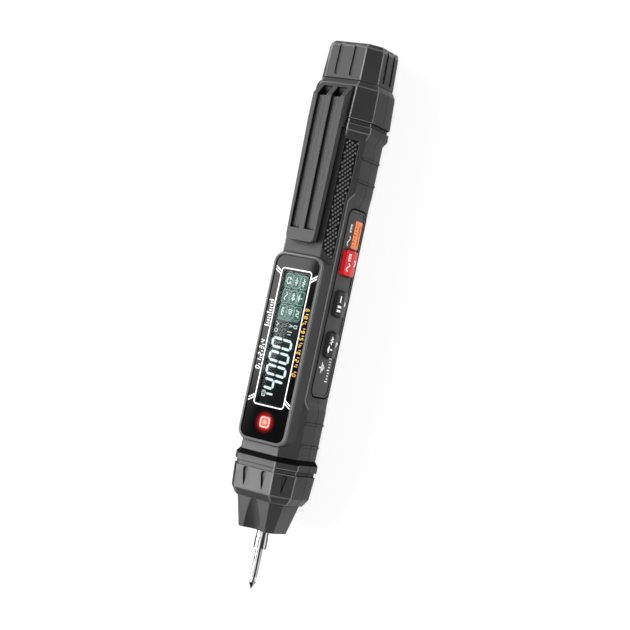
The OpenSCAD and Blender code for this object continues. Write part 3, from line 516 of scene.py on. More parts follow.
@dataclass(frozen=True)
class PrintedInk(Look):
    """Ink printed on a surface, a little uneven at its finest scale."""

    colour: Colour
    roughness: float = 0.3
    speck: float = 0.3
    depth: float = 0.002
    tones: Point2 = (0.85, 1.0)

    def surface(self, shade: Shade) -> Wire:
        """Specks in its tone, gloss and height.

        Args:
            shade: the material in the making.

        Returns:
            Its shader.
        """
        speck = shade.noise(self.speck, 2.0, 0.6)
        return shade.principled({
            "Base Color": shade.spread(speck.step(0.25, 0.6), self.colour, self.tones),
            "Roughness": self.roughness + speck.swing(0.12),
            "Normal": shade.bump(speck, self.depth),
        })


@dataclass(frozen=True)
class LitInk(Look):
    """Display segment that glows a little unevenly."""

    colour: Colour
    strength: float = 1.0
    base: Colour = grey(0.02)
    speck: float = 0.8
    tones: Point2 = (0.86, 1.0)

    def surface(self, shade: Shade) -> Wire:
        """Glow with faint specks.

        Args:
            shade: the material in the making.

        Returns:
            Its shader.
        """
        speck = shade.noise(self.speck, 2.0, 0.5)
        return shade.principled({
            "Base Color": self.base,
            "Roughness": 0.08 + speck.swing(0.04),
            "Specular IOR Level": 0.2,
            "Emission Color": shade.spread(speck.step(0.3, 0.7), self.colour, self.tones),
            "Emission Strength": self.strength,
        })


@dataclass(frozen=True)
class WindowBlack(Look):
    """Black gloss behind the clear layer, with a painted red glow round the indicator."""

    lens: Point2
    near: float = 2.0
    reach: float = 4.6
    edge: float = 0.2
    tones: tuple[Colour, Colour] = ((0.0016, 0.0016, 0.0018), (0.003, 0.003, 0.0034))
    painted_red_glow: Colour = (1.0, 0.03, 0.02)

    def surface(self, shade: Shade) -> Wire:
        """Smears, and a painted red glow that fades with its distance from the indicator.

        Args:
            shade: the material in the making.

        Returns:
            Its shader.
        """
        x, y, _ = shade.axes()
        off_x, off_y = x - self.lens[0], y - self.lens[1]
        away = (off_x * off_x + off_y * off_y) ** 0.5
        # Painted light: the indicator's red glow, as emission on the black window.
        painted_red_glow = away.fall(self.near, self.reach) ** 1.5
        smear = shade.noise(11.0, 4.0, 0.6, along=0.35)
        return shade.principled({
            "Base Color": shade.mix(smear, *self.tones),
            "Roughness": 0.045 + smear.swing(0.05),
            "Specular IOR Level": 0.36,
            "Emission Color": shade.mix(painted_red_glow, NIGHT, self.painted_red_glow),
            "Emission Strength": 0.5,
            "Normal": shade.rounded(self.edge),
        })


@dataclass(frozen=True)
class LensRed(Look):
    """Lit lens of the indicator, white-hot in the middle."""

    lens: Point2
    half: Point2
    edge: float = 0.15
    base: Colour = (0.35, 0.01, 0.01)
    body: Colour = (0.75, 0.015, 0.012)
    core: Colour = (1.0, 0.62, 0.36)
    rim: Colour = (1.0, 0.72, 0.7)
    rim_shares: tuple[Point2, Point2] = ((0.64, 0.74), (0.88, 0.98))

    def surface(self, shade: Shade) -> Wire:
        """Glow that falls from the middle, with a pale line just inside the square edge.

        Args:
            shade: the material in the making.

        Returns:
            Its shader.
        """
        x, y, _ = shade.axes()
        off_x = (x - self.lens[0]) / self.half[0]
        off_y = (y - self.lens[1]) / self.half[1]
        square_x, square_y = off_x * off_x, off_y * off_y
        radial = (square_x + square_y) ** 0.5
        far = (square_x * square_x + square_y * square_y) ** 0.25
        rim = far.step(*self.rim_shares[0]) * far.fall(*self.rim_shares[1])
        body = shade.mix(radial.fall(0.0, 0.8), self.body, self.core)
        return shade.principled({
            "Base Color": self.base,
            "Roughness": 0.15 + shade.noise(0.5, 2.0, 0.5).swing(0.1),
            "Emission Color": shade.mix(rim, body, self.rim),
            "Emission Strength": 1.0,
            "Normal": shade.rounded(self.edge),
        })


@dataclass(frozen=True)
class PanelDark(Look):
    """Face of the liquid crystal panel: dark polariser with a faint glow that grows along it."""

    middle_y: float
    half_y: float
    glow: tuple[Colour, Colour] = ((0.010, 0.012, 0.014), (0.028, 0.040, 0.040))
    weave: Colour = (0.020, 0.026, 0.028)

    def surface(self, shade: Shade) -> Wire:
        """Glow and a fine weave.

        Args:
            shade: the material in the making.

        Returns:
            Its shader.
        """
        along = ((shade.axes()[1] - self.middle_y) / self.half_y).step(-1.0, 1.0)
        weave = shade.noise(0.5, 1.0, 0.4)
        return shade.principled({
            "Base Color": shade.mix(weave, NEAR_BLACK, grey(0.002)),
            "Roughness": 0.06 + weave.swing(0.04),
            "Specular IOR Level": 0.2,
            "Emission Color": shade.mix(weave * 0.4, shade.mix(along, *self.glow), self.weave),
            "Emission Strength": 0.7,
        })


@dataclass(frozen=True)
class ClearPane(Look):
    """Clear hard plastic over the panel, faintly smeared."""

    tones: tuple[Colour, Colour] = ((0.93, 0.95, 0.96), (0.98, 0.98, 0.99))

    def surface(self, shade: Shade) -> Wire:
        """Clear body with smears in its tint."""
        smear = shade.noise(11.0, 4.0, 0.6, along=0.35)
        return shade.principled({"Base Color": shade.mix(smear, *self.tones), "Roughness": 0.0,
                                 "IOR": 1.2, "Transmission Weight": 1.0})


@dataclass(frozen=True)
class BoardGreen(Look):
    """Circuit board with traces under its lacquer."""

    lacquer: tuple[Colour, Colour] = ((0.006, 0.085, 0.028), (0.010, 0.13, 0.045))
    trace: Colour = (0.05, 0.24, 0.09)
    trace_depth: float = 0.02

    def surface(self, shade: Shade) -> Wire:
        """Cloudy lacquer with paler, raised traces.

        Args:
            shade: the material in the making.

        Returns:
            Its shader.
        """
        traces = shade.wire("ShaderNodeTexBrick", "Fac", {"offset": 0.35, "squash": 1.4}, {
            "Vector": shade.places, "Scale": 320.0, "Mortar Size": 0.06, "Brick Width": 1.6,
            "Row Height": 0.5})
        cloud = shade.noise(3.0, 3.0, 0.5)
        return shade.principled({
            "Base Color": shade.mix(traces * 0.6, shade.mix(cloud, *self.lacquer), self.trace),
            "Roughness": 0.28 + cloud.swing(0.1),
            "Normal": shade.bump(traces, self.trace_depth),
        })


@dataclass(frozen=True)
class CellJacket(Look):
    """Film jacket of a cell: a coloured body, a band and bare metal ends."""

    starts: Sequence[float]
    length: float
    radius: float
    axis_z: float
    body: Colour = (0.02, 0.06, 0.19)
    band: Colour = (0.62, 0.64, 0.66)
    metal: Colour = (0.66, 0.64, 0.60)
    edge: float = 0.2
    wrinkle_depth: float = 0.02

    def surface(self, shade: Shade) -> Wire:
        """Film by the place along each cell, metal inside the rolled ends.

        Args:
            shade: the material in the making.

        Returns:
            Its shader.
        """
        x, y, z = shade.axes()
        band: Number = 0.0
        ends: Number = 0.0
        for start in self.starts:
            share = (y - start) / self.length
            inside = share.step(0.0, 0.004) * share.fall(0.996, 1.0)
            band = share.step(0.70, 0.71) * inside + band
            ends = (share.fall(0.02, 0.03) + share.step(0.97, 0.98)) * inside + ends
        out = z - self.axis_z
        radial = (x * x + out * out) ** 0.5
        metal = (ends * radial.fall(self.radius * 0.78, self.radius * 0.84)).least(1.0)
        wrinkle = shade.noise(4.0, 3.0, 0.5, along=0.3)
        film = shade.mix(band.least(1.0), self.body, self.band)
        return shade.principled({
            "Base Color": shade.mix(metal, film, self.metal),
            "Metallic": metal,
            "Roughness": 0.24 + wrinkle.swing(0.14),
            "Normal": shade.bump(wrinkle, self.wrinkle_depth, shade.rounded(self.edge)),
        })


@dataclass(frozen=True)
class PaleFloor(Look):
    """White floor that keeps the shadow near the pen and turns into the background far away."""

    glow: float = 0.85
    near: float = 250.0
    far: float = 900.0

    def surface(self, shade: Shade) -> Wire:
        """Paper under a glow that only seen rays meet.

        Args:
            shade: the material in the making.

        Returns:
            Its shader.
        """
        paper = shade.matt(3.0, (0.86, 0.9), 0.75)
        glow = shade.emission(LIGHT, 1.0)
        x, y, _ = shade.axes()
        far = (x * x + y * y).step(self.near ** 2, self.far ** 2)
        return shade.blend(shade.seen() * (far * (1.0 - self.glow) + self.glow), paper, glow)


@dataclass(frozen=True)
class SoftBox(Look):
    """Lit cloth of the main light, with its own level for each place along the pen.

    It starts beside the display at body, falls to least toward the tip, rises by nose_level beyond
    that, and is dimmed to dip_level in the strip that the needle mirrors.
    """

    radiance: float = 4.25
    body: Point2 = (-85.0, -10.0)
    least: float = 0.1
    nose: Point2 = (-150.0, -100.0)
    nose_level: float = 7.4
    dip_start: Point2 = (-236.0, -224.0)
    dip_end: Point2 = (-190.0, -178.0)
    dip_level: float = 0.3
    highest: float = 8.4

    def surface(self, shade: Shade) -> Wire:
        """Glow of the cloth.

        Args:
            shade: the material in the making.

        Returns:
            Its shader.
        """
        y = shade.axes()[1]
        cloth = shade.noise(60.0, 2.0, 0.5)
        kept = 1.0 - y.step(*self.dip_start) * y.fall(*self.dip_end)
        body = y.step(*self.body).most(self.least) * (kept * (1.0 - self.dip_level) + self.dip_level)
        level = body + y.fall(*self.nose) * self.nose_level * kept
        share = level * (0.97 + cloth * 0.06) / self.highest
        return shade.emission(shade.mix(share, NIGHT, grey(self.highest)), self.radiance)


@dataclass(frozen=True)
class MattCard(Look):
    """Matt card that shows in reflections."""

    tones: Point2

    def surface(self, shade: Shade) -> Wire:
        """Cloudy grey."""
        return shade.matt(4.0, self.tones, 0.9)


class Finish(Enum):
    """Every finish of the pen and its studio, built once and kept."""

    HOUSING = MouldedPlastic("satin_housing", (0.019, 0.019, 0.020), gap=3.0)
    # Lighter than the housing: a painted highlight on the bevels; its lower roughness is the edge's
    # own polish.
    PAINTED_HIGHLIGHT = MouldedPlastic("painted_highlight_edge", (0.095, 0.095, 0.098), roughness=0.17, grain_depth=0.001,
                          specular=1.0, gap=0.8)
    CLIP = MouldedPlastic("clip_plastic", (0.022, 0.022, 0.023), roughness=0.38, gap=4.5)
    PLATE = MouldedPlastic("satin_plate", (0.032, 0.032, 0.034), roughness=0.38)
    KNURL_BASE = SoftRubber("knurl_base", grey(0.003), roughness=0.75, specular=0.12)
    # Black for painted shade on the ring groove walls, the slope behind the nose ring and the gap
    # round the plate.
    PAINTED_SHADE = SoftRubber("painted_shade_black", NEAR_BLACK, roughness=0.8, specular=0.06)
    # The studs' colour, lighter than their pad, is a painted highlight; their gloss is their own.
    KNURL_STUD = GlossPlastic("knurl_stud", (0.10, 0.10, 0.102), roughness=0.3, edge=0.05)
    POWER = GlossPlastic("red_key", (0.62, 0.012, 0.018), roughness=0.2)
    KEY = GlossPlastic("dark_key", (0.018, 0.018, 0.019), roughness=0.22)
    WHITE_INK = PrintedInk("white_ink", (0.86, 0.87, 0.87))
    GOLD_INK = PrintedInk("gold_ink", (0.66, 0.33, 0.025))
    DARK_INK = PrintedInk("dark_ink", (0.10, 0.025, 0.01))
    STICKER = PrintedInk("sticker_orange", (0.86, 0.22, 0.055), roughness=0.38)
    SEGMENT = LitInk("segment_white", (0.80, 0.97, 1.0), strength=1.12)
    ICON = LitInk("icon_white", (0.72, 0.90, 0.88))
    ICON_GREEN = LitInk("icon_green", (0.16, 0.40, 0.31))
    ICON_FILL = LitInk("icon_fill", (0.025, 0.095, 0.068))
    WINDOW = WindowBlack("window_black", LENS_PLACE)
    LENS = LensRed("lit_lens", LENS_PLACE, (2.2, 2.1))
    PANEL = PanelDark("panel_dark", -9.15, 25.85)
    PANE = ClearPane("window_pane")
    CHROME = BrightMetal("probe_chrome", (0.84, 0.84, 0.85))
    STEEL = BrightMetal("zinc_steel", (0.55, 0.56, 0.57), roughness=0.28, mark_depth=0.003)
    BRASS = BrightMetal("rolled_brass", (0.78, 0.58, 0.26), roughness=0.22)
    BLACK = SoftRubber("dark_moulding", grey(0.018), roughness=0.5)
    WHITE = GlossPlastic("white_moulding", (0.74, 0.74, 0.71), roughness=0.4)
    STRIP = SoftRubber("pink_rubber", (0.62, 0.34, 0.34))
    BOARD = BoardGreen("lacquered_board")
    JACKET = CellJacket("printed_jacket", (14.5, -30.2), 44.5, 5.15, 8.5)
    FLOOR = PaleFloor("pale_floor")
    SOFT_BOX = SoftBox("soft_box")
    DARK_CARD = MattCard("dark_card", (0.003, 0.006))
    GREY_CARD = MattCard("grey_card", (0.42, 0.46))

    @functools.cache
    def material(self) -> bpy.types.Material:
        """The finish's material, made at its first use."""
        return self.value.build()


def put(name: str, data: bpy.types.ID) -> bpy.types.Object:
    """Adds an object to the scene.

    Args:
        name: its name.
        data: its mesh, light or camera.

    Returns:
        The object.
    """
    made = bpy.data.objects.new(name, data)
    bpy.context.scene.collection.objects.link(made)
    return made


def put_mesh(name: str, bm: bmesh.types.BMesh, *finishes: Finish) -> bpy.types.Object:
    """Adds a mesh object to the scene.

    Args:
        name: its name.
        bm: its mesh, freed here.
        finishes: its finishes, one for each of its material numbers.

    Returns:
        The object.
    """
    mesh = bpy.data.meshes.new(name)
    bm.to_mesh(mesh)
    bm.free()
    for finish in finishes:
        mesh.materials.append(finish.material())
    return put(name, mesh)


class MeshMaker:
    """Turns bmesh work, in millimetres, into pieces that ride on the frame."""

    weld: float = 0.002
    cut_weld: float = 0.001
    flat: float = 0.5
    cut_flat: float = 0.3

    @staticmethod
    def piece(bm: bmesh.types.BMesh, name: str, finish: Finish, slot: Slot, body: Body = Body.HOUSING,
              smooth: float = 14.0, edge: Finish | None = None) -> bpy.types.Object:
        """Makes a piece.

        Args:
            bm: its mesh, freed here.
            name: its name.
            finish: its finish.
            slot: the record's material slot; not used.
            body: the body that carries it.
            smooth: edges that turn by less than this many degrees shade smoothly.
            edge: finish of its bevels, if not its own.

        Returns:
            The object.
        """
        bmesh.ops.recalc_face_normals(bm, faces=bm.faces)
        limit = math.radians(smooth)
        for face in bm.faces:
            face.smooth = True
        for line in bm.edges:
            line.smooth = len(line.link_faces) == 2 and line.calc_face_angle(math.pi) < limit
        bm.transform(Matrix.Scale(MM, 4))
        made = put_mesh(name, bm, finish, edge or finish)
        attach(made, body.value)
        LOG.info("%s: %d faces on %s", name, len(made.data.polygons), body.value)
        return made

    @classmethod
    def copy_node(cls, node: bpy.types.Object) -> bmesh.types.BMesh:
        """A node's mesh, welded and with its flat faces joined.

        Args:
            node: the CAD object.

        Returns:
            The mesh.
        """
        bm = bmesh.new()
        bm.from_mesh(node.data)
        bm.transform(Matrix.Scale(1.0 / MM, 4))
        cls._clean(bm, cls.weld, cls.flat)
        return bm

    @staticmethod
    def _clean(bm: bmesh.types.BMesh, weld: float, flat: float) -> None:
        """Welds points and joins flat faces.

        Args:
            bm: the mesh.
            weld: points this close become one.
            flat: faces that turn by less than this many degrees become one.
        """
        bmesh.ops.remove_doubles(bm, verts=bm.verts, dist=weld)
        bmesh.ops.dissolve_limit(bm, angle_limit=math.radians(flat), verts=bm.verts, edges=bm.edges,
                                 delimit=set())

    @staticmethod
    def bevel(bm: bmesh.types.BMesh, width: float, least: float = 0.6, turn: float = 22.0,
              keep: Callable[[bmesh.types.BMEdge], bool] | None = None, finish: int = 1) -> None:
        """Bevels the outward edges that have room for it.

        Args:
            bm: the mesh.
            width: width of the bevel.
            least: shortest edge that is bevelled, or that may meet one.
            turn: least turn between the two faces, in degrees.
            keep: further test of an edge.
            finish: which of the piece's finishes the bevel has.
        """
        long = {e: e.calc_length() >= least for e in bm.edges}
        chosen = [
            e for e in bm.edges
            if long[e] and len(e.link_faces) == 2 and e.is_convex
            and e.calc_face_angle(0.0) > math.radians(turn)
            and all(long[o] for v in e.verts for o in v.link_edges)
            and (keep is None or keep(e))
        ]
        if chosen:
            bmesh.ops.bevel(bm, geom=chosen, offset=width, offset_type="OFFSET", segments=1,
                            profile=0.5, affect="EDGES", clamp_overlap=True, material=finish)

    @staticmethod
    def prism(bm: bmesh.types.BMesh, outline: Sequence[Vector], thick: Vector) -> None:
        """Adds a closed prism.

        Args:
            bm: the mesh to add to.
            outline: corners of one end, in order.
            thick: from that end to the other.
        """
        low = [bm.verts.new(p) for p in outline]
        high = [bm.verts.new(p + thick) for p in outline]
        bm.faces.new(low)
        bm.faces.new(list(reversed(high)))
        for i in range(len(low)):
            j = (i + 1) % len(low)
            bm.faces.new((low[i], high[i], high[j], low[j]))

    @classmethod
    def slab(cls, outline: Iterable[Point2], low: float, high: float) -> bmesh.types.BMesh:
        """An outline seen from above, as a solid.

        Args:
            outline: its (x, y) corners.
            low: height of its underside.
            high: height of its top.

        Returns:
            The mesh.
        """
        bm = bmesh.new()
        cls.prism(bm, [Vector((x, y, low)) for x, y in outline], Vector((0, 0, high - low)))
        return bm

    @classmethod
    def profile(cls, outline: Iterable[Point2], low: float, width: float) -> bmesh.types.BMesh:
        """An outline seen from the side, as a solid.

        Args:
            outline: its (y, z) corners.
            low: where it starts along X.
            width: how far it runs.

        Returns:
            The mesh.
        """
        bm = bmesh.new()
        cls.prism(bm, [Vector((low, y, z)) for y, z in outline], Vector((width, 0, 0)))
        return bm

    @classmethod
    def boolean(cls, base: bmesh.types.BMesh, tool: bmesh.types.BMesh, cut: Cut) -> bmesh.types.BMesh:
        """Cuts or trims one mesh with another.

        Args:
            base: first mesh, freed here.
            tool: second mesh, freed here.
            cut: away where the second is, or trimmed to it.

        Returns:
            The result.
        """
        objects = []
        for bm in (base, tool):
            bmesh.ops.recalc_face_normals(bm, faces=bm.faces)
            objects.append(put_mesh("work", bm))
        modifier = objects[0].modifiers.new("cut", "BOOLEAN")
        modifier.operation = cut.value
        modifier.solver = "EXACT"
        modifier.object = objects[1]
        bpy.context.view_layer.update()
        result = bmesh.new()
        result.from_object(objects[0], bpy.context.evaluated_depsgraph_get())
        for made in objects:
            mesh = made.data
            bpy.data.objects.remove(made)
            bpy.data.meshes.remove(mesh)
        cls._clean(result, cls.cut_weld, cls.cut_flat)
        return result


@dataclass(frozen=True)
class Sheet:
    """A flat place for marks: s runs in reading direction, t runs up the mark."""

    origin: Vector
    along: Vector
    up: Vector

    def at(self, s: float, t: float, lift: float = 0.0) -> Vector:
        """Point s along the sheet and t up it, lifted off it, in millimetres of the frame."""
        return self.origin + self.along * s + self.up * t + self.along.cross(self.up) * lift


TO_BUTTONS, TO_TAIL, TO_FRONT = Vector((1, 0, 0)), Vector((0, 1, 0)), Vector((0, 0, 1))
READ_FRONT = (TO_TAIL, Vector((-1, 0, 0)))
READ_SIDE = (TO_TAIL, TO_FRONT)


def box(low: Point2, high: Point2, grow: float = 0.0) -> list[Point2]:
    """Corners of a rectangle, counter-clockwise, each moved out by grow."""
    (x0, y0), (x1, y1) = (low[0] - grow, low[1] - grow), (high[0] + grow, high[1] + grow)
    return [(x0, y0), (x1, y0), (x1, y1), (x0, y1)]


def rounded_path(centre: Point2, size: Point2, radius: float, steps: int = 5) -> list[Point2]:
    """Rectangle with round corners.

    Args:
        centre: its middle.
        size: width and height.
        radius: radius of the corners.
        steps: segments in each corner.

    Returns:
        Its corners, counter-clockwise.
    """
    path = []
    for turn, (sx, sy) in enumerate(((1, 1), (-1, 1), (-1, -1), (1, -1))):
        for i in range(steps + 1):
            angle = math.radians(90 * turn + 90 * i / steps)
            path.append((centre[0] + sx * (size[0] / 2 - radius) + radius * math.cos(angle),
                         centre[1] + sy * (size[1] / 2 - radius) + radius * math.sin(angle)))
    return path


def arc(centre: Point2, radius: float, start: float, end: float, steps: int = 14) -> list[Point2]:
    """Points of an arc from one angle to another, in degrees, in that many steps."""
    turns = [math.radians(start + (end - start) * i / steps) for i in range(steps + 1)]
    return [(centre[0] + radius * math.cos(a), centre[1] + radius * math.sin(a)) for a in turns]


class MarkPen:
    """Draws thin raised marks on a sheet, all of one ink."""

    def __init__(self, sheet: Sheet, thick: float = 0.03, lift: float = 0.0) -> None:
        """Starts with no marks.

        Args:
            sheet: where the marks go.
            thick: thickness of the ink.
            lift: height of its underside over the sheet.
        """
        self.sheet, self.thick, self.lift = sheet, thick, lift
        self.bm = bmesh.new()

    def fill(self, outline: Sequence[Point2]) -> None:
        """Draws a filled outline."""
        up = self.sheet.at(0, 0, self.thick) - self.sheet.at(0, 0)
        MeshMaker.prism(self.bm, [self.sheet.at(s, t, self.lift) for s, t in outline], up)

    def bar(self, low: Point2, high: Point2) -> None:
        """Draws a filled rectangle between two opposite corners."""
        self.fill(box(low, high))

    def ticks(self, corner: Point2, pitch: float, width: float, heights: Iterable[float]) -> None:
        """Draws a row of upright bars.

        Args:
            corner: lower left corner of the first.
            pitch: from one bar to the next.
            width: width of each.
            heights: their heights.
        """
        for i, height in enumerate(heights):
            start = corner[0] + i * pitch
            self.bar((start, corner[1]), (start + width, corner[1] + height))

    def line(self, points: Sequence[Point2], width: float, closed: bool = False) -> None:
        """Draws a line with mitred corners.

        Args:
            points: its path.
            width: its width.
            closed: whether it ends where it starts.
        """
        count = len(points)
        sides: tuple[list[Point2], list[Point2]] = ([], [])
        for i, (s, t) in enumerate(points):
            before = points[i - 1] if (i or closed) else None
            after = points[(i + 1) % count] if (i < count - 1 or closed) else None
            ways = []
            for a, b in ((before, (s, t)), ((s, t), after)):
                if a is not None and b is not None:
                    length = math.hypot(b[0] - a[0], b[1] - a[1]) or 1.0
                    ways.append(((b[0] - a[0]) / length, (b[1] - a[1]) / length))
            wx, wy = (sum(w[k] for w in ways) for k in (0, 1))
            length = math.hypot(wx, wy) or 1.0
            nx, ny = -wy / length, wx / length
            spread = abs(nx * -ways[0][1] + ny * ways[0][0])
            reach = width / 2 / max(spread, 0.5)
            sides[0].append((s + nx * reach, t + ny * reach))
            sides[1].append((s - nx * reach, t - ny * reach))
        rings = [[[self.bm.verts.new(self.sheet.at(s, t, self.lift + h)) for s, t in side]
                  for side in sides] for h in (0.0, self.thick)]
        (ll, lr), (hl, hr) = rings
        new = self.bm.faces.new
        for i in range(count if closed else count - 1):
            j = (i + 1) % count
            new((ll[i], ll[j], lr[j], lr[i]))
            new((hl[j], hl[i], hr[i], hr[j]))
            new((ll[j], ll[i], hl[i], hl[j]))
            new((lr[i], lr[j], hr[j], hr[i]))
        if not closed:
            new((ll[0], lr[0], hr[0], hl[0]))
            new((lr[-1], ll[-1], hl[-1], hr[-1]))

    def digit(self, number: int, corner: Point2, size: Point2, weight: float,
              slant: float = 0.1) -> None:
        """Draws a seven-segment digit.

        Args:
            number: 0 to 9.
            corner: its lower left corner.
            size: its width and height.
            weight: thickness of a segment.
            slant: how far its top leans, as a share of its height.
        """
        w, h = size
        half, gap = weight / 2, weight * 0.14
        flat = {"a": h - half, "g": h / 2, "d": half}
        tall = {"f": (half, 1), "b": (w - half, 1), "e": (half, 0), "c": (w - half, 0)}
        for name in SEGMENTS[number]:
            if name in flat:
                y, x0, x1 = flat[name], half + gap, w - half - gap
                outline = [(x0, y), (x0 + half, y + half), (x1 - half, y + half), (x1, y),
                           (x1 - half, y - half), (x0 + half, y - half)]
            else:
                x, upper = tall[name]
                y0 = (h / 2 if upper else half) + gap
                y1 = (h - half if upper else h / 2) - gap
                outline = [(x, y0), (x + half, y0 + half), (x + half, y1 - half), (x, y1),
                           (x - half, y1 - half), (x - half, y0 + half)]
            self.fill([(corner[0] + px + slant * py, corner[1] + py) for px, py in outline])

    def piece(self, name: str, finish: Finish, slot: Slot, body: Body = Body.HOUSING) -> None:
        """Makes the marks into a piece, given as for MeshMaker.piece()."""
        MeshMaker.piece(self.bm, name, finish, slot, body)


class Symbol(Enum):
    """General electrical symbols, each a list of [path, True if closed] in a box 2 wide and 2 high."""

    DIRECT = ([((-0.9, 0.3), (0.9, 0.3))], [((-0.9, -0.3), (-0.45, -0.3))],
              [((-0.22, -0.3), (0.22, -0.3))], [((0.45, -0.3), (0.9, -0.3))])
    ALTERNATING = ([tuple((-0.9 + 0.15 * i, 0.55 * math.sin(math.pi * i / 6)) for i in range(13))],)
    OHM = ([((-0.8, -0.8), (-0.3, -0.8), *arc((0, 0.1), 0.72, 235, -55), (0.3, -0.8), (0.8, -0.8))],)
    DIODE = ([((-0.9, 0), (-0.4, 0))], [((-0.4, -0.6), (-0.4, 0.6), (0.35, 0)), True],
             [((0.42, -0.6), (0.42, 0.6))], [((0.42, 0), (0.9, 0))])
    CAPACITOR = ([((-0.9, 0), (-0.2, 0))], [((-0.2, -0.7), (-0.2, 0.7))], [((0.2, -0.7), (0.2, 0.7))],
                 [((0.2, 0), (0.9, 0))])
    SOUND = ([((-0.75, -0.12), (-0.75, 0.12))], [tuple(arc((-0.9, 0), 0.65, -40, 40))],
             [tuple(arc((-0.9, 0), 1.1, -40, 40))], [tuple(arc((-0.9, 0), 1.55, -36, 36))])
    PULSE = ([((-0.9, -0.5), (-0.5, -0.5), (-0.5, 0.5), (0.0, 0.5), (0.0, -0.5), (0.5, -0.5),
               (0.5, 0.5), (0.9, 0.5))],)
    FIELD = ([((0, -0.8), (0, 0.1))], [tuple(arc((0, 0.1), 0.5, 30, 150))],
             [tuple(arc((0, 0.1), 0.85, 25, 155))])
    ZIGZAG = ([((-0.95, 0), (-0.65, 0), (-0.5, 0.5), (-0.2, -0.5), (0.1, 0.5), (0.4, -0.5), (0.6, 0),
                (0.95, 0))],)
    POWER = ([tuple(arc((0, -0.05), 0.75, 125, 415, 22))], [((0, 0.1), (0, 0.95))])
    LAMP = ([tuple(arc((0, 0), 0.5, 0, 360, 16)[:-1]), True], [((-0.35, -0.35), (0.35, 0.35))],
            [((-0.35, 0.35), (0.35, -0.35))], [((-0.95, 0), (-0.5, 0))], [((0.5, 0), (0.95, 0))])
    EARTH = ([((0, 0.9), (0, 0.1))], [((-0.8, 0.1), (0.8, 0.1))], [((-0.5, -0.3), (0.5, -0.3))],
             [((-0.2, -0.7), (0.2, -0.7))])
    VOLT = ([((-0.6, 0.8), (0, -0.8), (0.6, 0.8))],)

    def draw(self, pen: MarkPen, centre: Point2, half: Point2, width: float) -> None:
        """Draws the symbol.

        Args:
            pen: what draws.
            centre: its middle on the sheet.
            half: half its width and half its height.
            width: width of its lines.
        """
        for path, *closed in self.value:
            points = [(centre[0] + s * half[0], centre[1] + t * half[1]) for s, t in path]
            pen.line(points, width, bool(closed))


@dataclass(frozen=True)
class NumberRow:
    """The numbers from 0 on in a row, with a short bar between each two."""

    count: int
    corner: Point2
    pitch: float
    size: Point2
    weight: float
    slant: float
    bar_start: float
    bar_height: float
    bar_width: float = 0.3

    def draw(self, pen: MarkPen) -> None:
        """Draws the row.

        Args:
            pen: what draws.
        """
        start, foot = self.corner
        for i in range(self.count):
            pen.digit(i, (start + i * self.pitch, foot), self.size, self.weight, self.slant)
        pen.ticks((start + self.bar_start, foot), self.pitch, self.bar_width,
                  [self.bar_height] * (self.count - 1))


@dataclass
class Housing:
    """Shells, nose, cap and door, with small bevels on their long edges."""

    nodes: dict[str, bpy.types.Object]
    bevel: float = 0.26
    nose_bevel: float = 0.28
    cap_bevel: float = 0.3
    door_bevel: float = 0.12
    seam: float = 0.2
    seam_turn: float = 60.0
    seam_z: float = 12.95
    seam_x: float = 9.5
    band: Point2 = (-52.5, -50.7)
    band_steep: Point2 = (0.2, 0.9)
    groove_walls: Sequence[float] = (73.05, 71.35, -54.95, -56.55)
    wall_steep: float = 0.95
    wall_near: float = 0.05

    def build(self) -> None:
        """Replaces the plain solids with bevelled mouldings."""
        plan = (
            ("front_shell", "shell_front", Body.HOUSING, self.bevel),
            ("rear_shell", "shell_rear", Body.HOUSING, self.bevel),
            ("nose_cone", "nose_moulding", Body.HOUSING, self.nose_bevel),
            ("tail_cap", "cap_moulding", Body.CAP, self.cap_bevel),
            ("battery_door", "door_moulding", Body.DOOR, self.door_bevel),
        )
        for node, name, body, width in plan:
            bm = MeshMaker.copy_node(self.nodes[node])
            MeshMaker.bevel(bm, self.seam, 0.0, self.seam_turn, self._on_seam, 0)
            MeshMaker.bevel(bm, width)
            self._paint_groove_shade(bm)
            # Bevels take the lighter edge finish, a painted highlight.
            made = MeshMaker.piece(bm, name, Finish.HOUSING, Slot.HOUSING, body, edge=Finish.PAINTED_HIGHLIGHT)
            # The third material is black painted shade on the groove walls and the slope behind the
            # nose ring.
            made.data.materials.append(Finish.PAINTED_SHADE.material())
            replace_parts(made, node)

    def _paint_groove_shade(self, bm: bmesh.types.BMesh) -> None:
        """Gives the slope behind the nose ring and the walls of the ring grooves a black painted
        shade.

        Args:
            bm: a moulding's mesh.
        """
        for face in bm.faces:
            y, steep = face.calc_center_median().y, abs(face.normal.y)
            slope = self.band[0] < y < self.band[1] and self.band_steep[0] < steep < self.band_steep[1]
            near = any(abs(y - place) < self.wall_near for place in self.groove_walls)
            if slope or (steep > self.wall_steep and near):
                face.material_index = 2

    def _on_seam(self, edge: bmesh.types.BMEdge) -> bool:
        """Whether an edge of a shell lies on the outside of the shells' joint."""
        return all(abs(v.co.z - self.seam_z) < 0.02 and abs(v.co.x) > self.seam_x for v in edge.verts)


